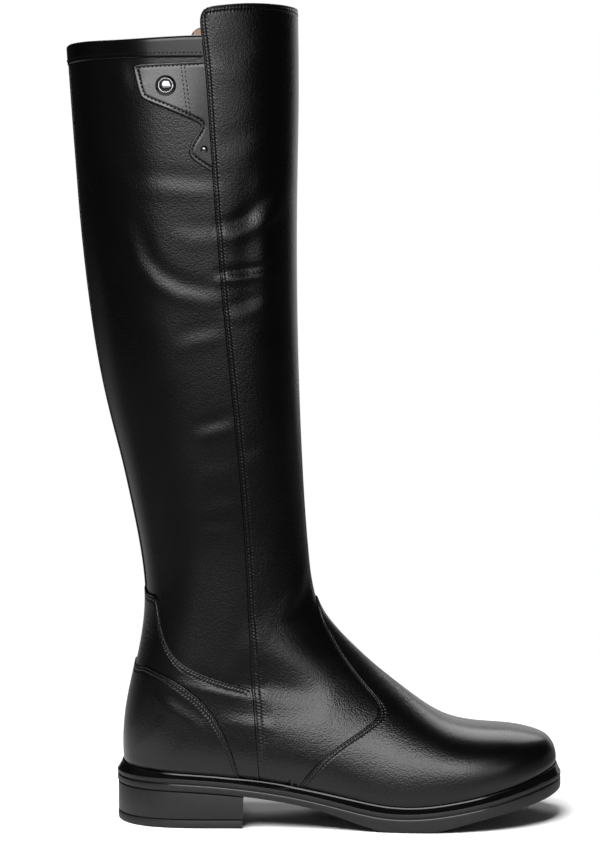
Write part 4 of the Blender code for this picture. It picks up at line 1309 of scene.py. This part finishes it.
# %% [markdown]
# ## Welt
# The welt is the rim that the upper is sewn to. Its upright side is charcoal like the sole, its bevel is
# coated black, a thin lip runs along the top and catches the light, and behind the lip a channel stops
# just short of the leather. Rays from outside find that leather at each station, so the gap stays narrow
# all round.

# %% Sole pieces
SOLE_TURNS = np.linspace(0, math.pi, 150)


def closed_grid(points, wrap_rows, wrap_columns):
    """A mesh from a grid of points, joined to itself across its rows, its columns or both."""
    if wrap_rows:
        points = np.concatenate([points, points[:1]])
    if wrap_columns:
        points = np.concatenate([points, points[:, :1]], axis=1)
    rows, columns = points.shape[:2]
    spots = world(points)
    bm = bmesh.new()
    bmesh.ops.create_grid(bm, x_segments=columns - 1, y_segments=rows - 1, size=0.5)
    for v in bm.verts:
        v.co = spots[round((v.co.y + 0.5) * (rows - 1)), round((v.co.x + 0.5) * (columns - 1))]
    bmesh.ops.remove_doubles(bm, verts=bm.verts, dist=1e-6)
    bmesh.ops.holes_fill(bm, edges=[e for e in bm.edges if e.is_boundary])
    bmesh.ops.dissolve_degenerate(bm, edges=bm.edges, dist=1e-7)
    bmesh.ops.recalc_face_normals(bm, faces=bm.faces)
    if bm.calc_volume(signed=True) < 0:
        bmesh.ops.reverse_faces(bm, faces=bm.faces)
    return bm


def sole_piece(node, slot, bm, *materials):
    add_object(bm, node + "_finished", node, slot, *materials)


def over_seam(face):
    """Height of a face's middle over the joint of welt and outsole."""
    middle = (np.array(face.calc_center_median()) - ORIGIN) / MM
    return middle[2] - float(seam_z(middle[0]))


# %% Welt
WELT_SIDE = 2.5
WELT_CLEAR = 0.2
LIP = 0.98
BEVEL_START = 0.36
BEVEL_WIDE = 2.42
UPRIGHT = 0.3
WeltPoint = namedtuple("WeltPoint", "inset side_rise share")
WELT_UPRIGHT = table(
    WeltPoint,
    (0.5, 0.05, 0), (0.15, 0.1, 0), (0.0, 0.3, 0), (0.0, 1.2, 0), (0.0, 2.15, 0), (0.05, 2.34, 0),
    (0.13, 2.45, 0), (0.28, 2.5, 0),
)
WELT_BEVEL = [
    WeltPoint(BEVEL_START + BEVEL_WIDE * share, WELT_SIDE - LIP * share, share)
    for share in (0.04, 0.16, 0.4, 0.65, 0.88, 1.0)
]
WELT_LIP = [
    WeltPoint(inset, WELT_SIDE - drop, 1.0)
    for inset, drop in (
        (2.84, 0.92), (3.02, 0.3), (3.08, 0.13), (3.2, 0.03), (3.4, 0.0), (3.6, 0.06), (3.74, 0.25),
        (3.8, 0.6), (3.84, 2.0),
    )
]
WELT_OUTSIDE = WELT_UPRIGHT + WELT_BEVEL + WELT_LIP
WELT_LEDGE = 2.3
LOOK_DROPS = (0.3, 2.0, 4.0)
leather_trees = [
    BVHTree.FromObject(bpy.data.objects[name + "_leather"], bpy.context.evaluated_depsgraph_get())
    for name in ("vamp", "counter", "quarter", "front_panel")
]


def leather_inset(x, y, z, direction):
    """Distance from a point outside to the leather, going inwards."""
    start = Vector(world((x, y, z)))
    hits = [tree.ray_cast(start, Vector((*direction, 0)))[3] for tree in leather_trees]
    near = [hit for hit in hits if hit is not None]
    return min(near) / MM if near else math.nan


welt_rings = []
room = []
stations = [(turn, -1) for turn in SOLE_TURNS] + [(turn, 1) for turn in SOLE_TURNS[-2:0:-1]]
for turn, side in stations:
    outer_x, outer_y = plan_side(turn, side)
    inner_x, inner_y = plan_side(turn, side, 1.0)
    direction = (inner_x - outer_x, inner_y - outer_y)
    rim = float(rim_z(outer_x))
    room.append(np.nanmin([leather_inset(outer_x, outer_y, rim - drop, direction) for drop in LOOK_DROPS]))
room = np.array(room)
room = np.minimum.reduce([np.roll(room, shift) for shift in (-1, 0, 1)])
room = np.mean([np.roll(room, shift) for shift in (-2, -1, 0, 1, 2)], axis=0) - WELT_CLEAR
for (turn, side), inner in zip(stations, room):
    outer_x, _ = plan_side(turn, side)
    low, rim = float(seam_z(outer_x)), float(rim_z(outer_x))
    ring = []
    squeeze = min(1.0, max(inner - 0.1, 0.5) / WELT_OUTSIDE[-1].inset)
    for p in WELT_OUTSIDE:
        x, y = plan_side(turn, side, p.inset * squeeze)
        height = low + p.side_rise + p.share * (rim - low - WELT_SIDE)
        ring.append((float(x), float(y), height))
    x, y = plan_side(turn, side, inner)
    ring += [(float(x), float(y), rim - WELT_LEDGE), (float(x), float(y), low + 0.05)]
    welt_rings.append(ring)
welt_bm = closed_grid(np.array(welt_rings), True, True)
for face in welt_bm.faces:
    face.material_index = int(over_seam(face) < WELT_SIDE and abs(face.normal.z) < UPRIGHT)
sole_piece("welt", "coated_welt", welt_bm, welt_coat, charcoal_sole)
print("leather lies", np.round(room.min(), 1), "to", np.round(room.max(), 1), "mm in from the outline")

# %% [markdown]
# ## Outsole, heel and insole
# The outsole is a plate between the sole's two outlines, with a rounded lower edge and a fine groove
# under the welt. The block heel and its lift follow the same outline, and their front is hollowed. The
# insole closes the view into the boot.

# %% Outsole and insole
PlateLevel = namedtuple("PlateLevel", "inset base rise")


def plate(levels):
    """Rings across a plate at stations along the sole, from one edge under it and over it to the other."""
    sides = []
    for side in (-1, 1):
        edges = []
        for level in levels:
            x, y = plan_side(SOLE_TURNS, side, level.inset)
            edges.append(np.stack([x, y, level.base(x) + level.rise], axis=-1))
        sides.append(np.array(edges))
    return np.concatenate([sides[0], sides[1][::-1]]).transpose(1, 0, 2)


OUTSOLE_LEVELS = table(
    PlateLevel,
    (14.0, under_z, 0.0), (6.0, under_z, 0.0), (1.5, under_z, 0.0), (0.9, under_z, 0.1),
    (0.4, under_z, 0.4), (0.1, under_z, 0.85), (0.0, under_z, 1.4), (0.0, seam_z, -2.6),
    (0.0, seam_z, -1.2), (0.02, seam_z, -1.14), (0.15, seam_z, -0.68), (0.22, seam_z, -0.6),
    (0.7, seam_z, -0.55), (0.75, seam_z, -0.3), (0.7, seam_z, -0.15), (6.0, seam_z, -0.15),
)
EDGE_GLOSS = (-1.16, -0.62)
GLOSS_UPRIGHT = 0.5
outsole_bm = closed_grid(plate(OUTSOLE_LEVELS), False, True)
for face in outsole_bm.faces:
    is_gloss = EDGE_GLOSS[0] < over_seam(face) < EDGE_GLOSS[1]
    face.material_index = int(is_gloss and abs(face.normal.z) < GLOSS_UPRIGHT)
sole_piece("outsole", "sole_rubber", outsole_bm, charcoal_sole, welt_coat)
INSOLE_INSET = 9.8
INSOLE_LEVELS = table(
    PlateLevel,
    (INSOLE_INSET + 0.6, seam_z, 0.3), (INSOLE_INSET, seam_z, 0.7), (INSOLE_INSET, seam_z, 2.9),
    (INSOLE_INSET + 0.5, seam_z, 3.3), (INSOLE_INSET + 5.0, seam_z, 3.3),
)
sole_piece("insole", "lining_leather", closed_grid(plate(INSOLE_LEVELS), False, True), lining_tan)

# %% Heel and lift
HEEL_BREAST = 74.2
BREAST_SKEW = {-1: 0.0, 1: -3.6}
BREAST_RAKE = {-1: 0.6, 1: 4.8}
BREAST_HOLLOW = 3.5
BREAST_HALF = 30.0
LIFT_HEIGHT = 4.8
HeelLevel = namedtuple("HeelLevel", "inset share rise")
BLOCK_LEVELS = table(
    HeelLevel,
    (1.2, 0.0, 0.3), (0.75, 0.0, 0.38), (0.5, 0.0, 0.75), (0.5, 0.5, 0.0), (0.5, 1.0, -1.0),
    (0.6, 1.0, -0.6), (1.0, 1.0, -0.3),
)
LIFT_LEVELS = table(
    HeelLevel,
    (1.4, 0.0, 0.0), (0.9, 0.0, 0.12), (0.5, 0.0, 0.7), (0.35, 0.5, 0.0), (0.4, 1.0, -0.35),
    (0.6, 1.0, -0.1), (1.2, 1.0, 0.0),
)


def heel_loop(inset, height):
    """Points round the heel at one height: its outline from the breast round the back, then the breast."""
    ends = []
    for side in (-1, 1):
        lean = HEEL_BREAST + BREAST_SKEW[side] + BREAST_RAKE[side] * height / float(under_z(HEEL_BREAST))
        turns = np.linspace(0, math.acos(1 - 2 * lean / SOLE_LENGTH), 60)
        ends.append(np.stack(plan_side(turns, side, inset), axis=-1))
    outer, inner = ends
    y = np.linspace(inner[-1, 1], outer[-1, 1], 26)[1:-1]
    hollow = BREAST_HOLLOW * (1 - np.minimum(np.abs(y) / BREAST_HALF, 1) ** 2)
    ends = np.abs(y) / max(abs(inner[-1, 1]), abs(outer[-1, 1]))
    x = np.interp(y, [outer[-1, 1], inner[-1, 1]], [outer[-1, 0], inner[-1, 0]]) - hollow + hollow * ends**12
    return np.concatenate([outer[::-1], inner[1:], np.stack([x, y], axis=-1)])


def heel_grid(levels, floor, ceiling):
    loops = []
    for level in levels:
        middle = floor + level.share * (float(ceiling(HEEL_BREAST / 2)) - floor) + level.rise
        flat = heel_loop(level.inset, middle)
        height = floor + level.share * (ceiling(flat[:, 0]) - floor) + level.rise
        loops.append(np.column_stack([flat, height]))
    return closed_grid(np.array(loops), False, True)


def lift_top(x):
    return np.full_like(np.asarray(x, float), LIFT_HEIGHT)


sole_piece("heel", "sole_rubber", heel_grid(BLOCK_LEVELS, LIFT_HEIGHT, under_z), charcoal_sole)
sole_piece("top_lift", "lift_rubber", heel_grid(LIFT_LEVELS, 0.0, lift_top), charcoal_lift)

# %% [markdown]
# ## Thread
# Every stitch is a small waxed spindle, laid at a slight slant in its row's groove. One is modelled, and
# arrays of places and directions repeat it, because thousands of separate operators would be slow.

# %% Stitches
STITCH_LONG = 1.5
STITCH_WIDE = 0.66
STITCH_SLANT = math.radians(7)
THREAD_PROUD = 0.03
LONG_PITCH = 2.3
LOOK_AHEAD = 0.2
PANEL_START = 0.07
BAND_ROW = 2.5
Thread = namedtuple("Thread", "points normals zigzag pitch", defaults=(0.0, STITCH_PITCH))
threads = []


def sew(node, index, **how):
    """A stitch row along a line of a piece's grid."""
    threads.append(Thread(made[node].outer[index], made[node].normal[index], **how))


panel_rows = slice(int(PANEL_START * len(made["front_panel"].outer)), None)
for k in (*STITCH_LINES, *[-1 - line for line in STITCH_LINES]):
    sew("front_panel", (panel_rows, k))
for node in ("vamp", "counter"):
    for k in STITCH_LINES:
        sew(node, -1 - k)
sew("front_panel", -1 - STITCH_LINES[1])
quarter_keep = np.flatnonzero(quarter_rim[:, 2] > QUARTER_CORNER - 0.5)
for k in STITCH_LINES:
    sew("quarter", (-1 - k, quarter_keep))
sew("collar_band", int(np.argmin(np.abs(EDGE_LINES - BAND_ROW))), zigzag=0.5, pitch=LONG_PITCH)


def flat_offset(path, distance):
    """A flat path moved sideways by a distance, to its left."""
    along = unit(np.gradient(path, axis=0))
    return path + distance * np.stack([-along[:, 1], along[:, 0]], axis=-1)


for places in (
    flat_offset(tab_free, TAB_STITCH)[1:-1],
    np.linspace((41.5, 434.0), (44.6, 408.0), 30),
    np.linspace((43.4, 434.0), (46.5, 407.2), 30),
):
    inside = to_outline(places) > TAB_STITCH - 0.4
    spots, facing = on_leather(places[inside], tab_heights(places[inside])[1])
    threads.append(Thread(spots, facing, pitch=LONG_PITCH))


def stitch_frames(thread):
    """Middle, along, across and up of each stitch on a row."""
    walk = walked(thread.points, 0)
    count = int(walk[-1] // thread.pitch)
    middles = (np.arange(count) + 0.5) * walk[-1] / max(count, 1)

    def on_row(values, places):
        return np.stack([np.interp(places, walk, values[:, k]) for k in range(3)], axis=-1)

    spot, up = on_row(thread.points, middles), unit(on_row(thread.normals, middles))
    along = on_row(thread.points, middles + LOOK_AHEAD) - on_row(thread.points, middles - LOOK_AHEAD)
    along = unit(along - up * np.sum(along * up, axis=1)[:, None])
    across = np.cross(up, along)
    slant = STITCH_SLANT + thread.zigzag * np.where(np.arange(count) % 2, 1.0, -1.0)
    turned_along = along * np.cos(slant)[:, None] + across * np.sin(slant)[:, None]
    return spot + up * THREAD_PROUD, turned_along, np.cross(up, turned_along), up


spindle = bmesh.new()
bmesh.ops.create_uvsphere(spindle, u_segments=6, v_segments=5, radius=0.5)
spindle_points = np.array([v.co for v in spindle.verts])
spindle_faces = [[v.index for v in face.verts] for face in spindle.faces]
spindle.free()
frames = [np.concatenate(parts) for parts in zip(*[stitch_frames(thread) for thread in threads])]
spot, along, across, up = [part[:, None, :] for part in frames]
stretch = spindle_points * [STITCH_WIDE, STITCH_WIDE, STITCH_LONG]
wide, thick, long = [stretch[None, :, k:k + 1] for k in range(3)]
stitch_points = spot + across * wide + up * thick + along * long
stitch_mesh = bpy.data.meshes.new("stitches")
count = len(stitch_points)
stitch_mesh.from_pydata(
    world(stitch_points).reshape(-1, 3).tolist(), [],
    [[k * len(spindle_points) + i for i in face] for k in range(count) for face in spindle_faces],
)
stitch_mesh.shade_smooth()
stitch_mesh.materials.append(thread_black)
stitches = bpy.data.objects.new("stitches", stitch_mesh)
bpy.context.collection.objects.link(stitches)
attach(stitches, "root")
print("stitches:", count)

# %% [markdown]
# ## Studio
# The photograph has a white sweep. Gloss on black leather is made of what it mirrors, so the room matters
# most: upright softboxes in front give the soft light on the shaft and the side of the foot, one behind
# the toe gives the bright rim and the shine on top of the toe, and the rest of the room stays dark, which
# keeps the leather black. Two more light the floor alone. The white of the sweep is there for the camera
# alone. Everything else sees the floor's colour as painted light: a painted pool of white close by and
# painted shade further off, in front and to the right, standing in for a set with dark flags round a small
# white table.

# %% Floor
FLOOR_HALF = 6.0
GLOW_FADE = (0.28, 0.6)
# Painted light on the floor, seen by everything but the camera: a painted pool of white close by the boot
# and painted shade further off.
LIT_POOL_FADE = (0.30, 0.45)
LIT_POOL_FRONT = (-0.19, -0.12)
LIT_POOL_RIGHT = (0.17, 0.25)
LIT_POOL_WHITE = 0.48
FAR_SHADE_FRONT = 0.08
FAR_SHADE_BACK = 0.32
FAR_SHADE_FADE = (0.05, 0.5)
SWEEP_WHITE = 0.93

floor_bm = bmesh.new()
bmesh.ops.create_circle(floor_bm, cap_ends=True, segments=96, radius=FLOOR_HALF)
bmesh.ops.recalc_face_normals(floor_bm, faces=floor_bm.faces)
floor_mesh = bpy.data.meshes.new("floor")
floor_bm.to_mesh(floor_mesh)
floor_bm.free()
floor = bpy.data.objects.new("floor", floor_mesh)
floor.location.z = -0.0002
bpy.context.collection.objects.link(floor)

white_sweep, floor_shader, floor_start = finish("white_sweep", Roughness=0.9, Specular_IOR_Level=0.0)
place = object_place(floor_start)
reach = floor_start.node("ShaderNodeVectorMath", {"operation": "LENGTH"}, {0: place}, "Value")
seen = floor_start.node("ShaderNodeLightPath", {}, {}, "Is Camera Ray")
side, depth = [floor_start.node("ShaderNodeSeparateXYZ", {}, {0: place}, axis) for axis in "XY"]
# For everything but the camera, the floor's colour is painted light. It has painted shade far off, darker in
# front than behind, and a painted pool of white close by the boot, cut off in front and to the right.
far = FAR_SHADE_FRONT + depth.ramp(*FAR_SHADE_FADE) * (FAR_SHADE_BACK - FAR_SHADE_FRONT)
in_lit_pool = (1 - reach.ramp(*LIT_POOL_FADE)) * depth.ramp(*LIT_POOL_FRONT) * (1 - side.ramp(*LIT_POOL_RIGHT))
painted_floor_light = far + in_lit_pool * (LIT_POOL_WHITE - far)
feed(floor_shader, "Base Color", painted_floor_light.math("MAXIMUM", painted_floor_light, seen * SWEEP_WHITE))
glow = floor_start.node("ShaderNodeEmission", {}, {"Strength": 1.0})
principled = Field(white_sweep.node_tree, floor_shader.outputs[0])
parts = {0: seen * reach.ramp(*GLOW_FADE), 1: principled, 2: glow}
blend = floor_start.node("ShaderNodeMixShader", {}, parts)
white_sweep.node_tree.links.new(blend.socket, white_sweep.node_tree.nodes["Material Output"].inputs[0])
floor_mesh.materials.append(white_sweep)
print("floor:", floor.name)

# %% Room
DARK_LEFT = 0.08
DARK_ROOM = 0.02
LEFT_FADE = (-0.5, 0.4)
FRONT_FADE = (-0.4, 0.3)
BEHIND_WHITE = 0.9
BEHIND_SIDE = math.radians(20)
BEHIND = (0.85, 0.97)

room_world = bpy.data.worlds.new("room")
room_world.use_nodes = True
bpy.context.scene.world = room_world
room_start = Field(room_world.node_tree)
seen = room_start.node("ShaderNodeLightPath", {}, {}, "Is Camera Ray")
direction = room_start.node("ShaderNodeTexCoord", {}, {}, "Generated")
across, depth = [room_start.node("ShaderNodeSeparateXYZ", {}, {0: direction}, axis) for axis in "XY"]
on_left = (1 - across.ramp(*LEFT_FADE)) * (1 - depth.ramp(*FRONT_FADE))
dark = DARK_ROOM + on_left * (DARK_LEFT - DARK_ROOM)
background = room_world.node_tree.nodes["Background"]
background.inputs["Color"].default_value = (1, 1, 1, 1)
towards = depth * math.cos(BEHIND_SIDE) + across * math.sin(BEHIND_SIDE)
behind = towards.ramp(*BEHIND) * BEHIND_WHITE
feed(background, "Strength", seen.math("MAXIMUM", seen, dark.math("MAXIMUM", dark, behind)))
print("room:", room_world.name)

# %% Lights
Softbox = namedtuple("Softbox", "name lights spot aim wide high power")
SOFTBOXES = table(
    Softbox,
    ("front_low", "boot", (0.25, -6.0, 0.68), (0.25, 0.0, 0.68), 4.9, 1.32, 19.0),
    ("front_high", "boot", (0.25, -6.0, 3.06), (0.25, 0.0, 3.06), 4.9, 3.4, 322.0),
    ("front_right", "boot", (4.3, -6.0, 1.3), (4.3, 0.0, 1.3), 3.4, 2.2, 34.0),
    ("behind_toe", "boot", (0.46, 1.55, 1.7), (0.05, 0.0, 0.1), 2.1, 1.4, 30.0),
    ("overhead", "floor", (-0.40, -0.45, 1.45), (0.0, 0.0, 0.0), 1.2, 1.2, 56.0),
    ("behind_floor", "floor", (-0.05, 0.85, 0.62), (0.0, 0.0, 0.0), 0.5, 0.4, 2.6),
)
lit = {name: bpy.data.collections.new("lit_" + name) for name in ("boot", "floor")}
for piece in list(bpy.context.scene.objects):
    if piece.type == "MESH":
        lit["floor" if piece == floor else "boot"].objects.link(piece)
for box in SOFTBOXES:
    data = bpy.data.lights.new(box.name, "AREA")
    data.shape = "RECTANGLE"
    data.size, data.size_y = box.wide, box.high
    data.energy = box.power
    lamp = bpy.data.objects.new(box.name, data)
    lamp.location = box.spot
    lamp.rotation_euler = (Vector(box.spot) - Vector(box.aim)).to_track_quat("Z", "Y").to_euler()
    lamp.light_linking.receiver_collection = lit[box.lights]
    bpy.context.collection.objects.link(lamp)
print("lights:", [box.name for box in SOFTBOXES])
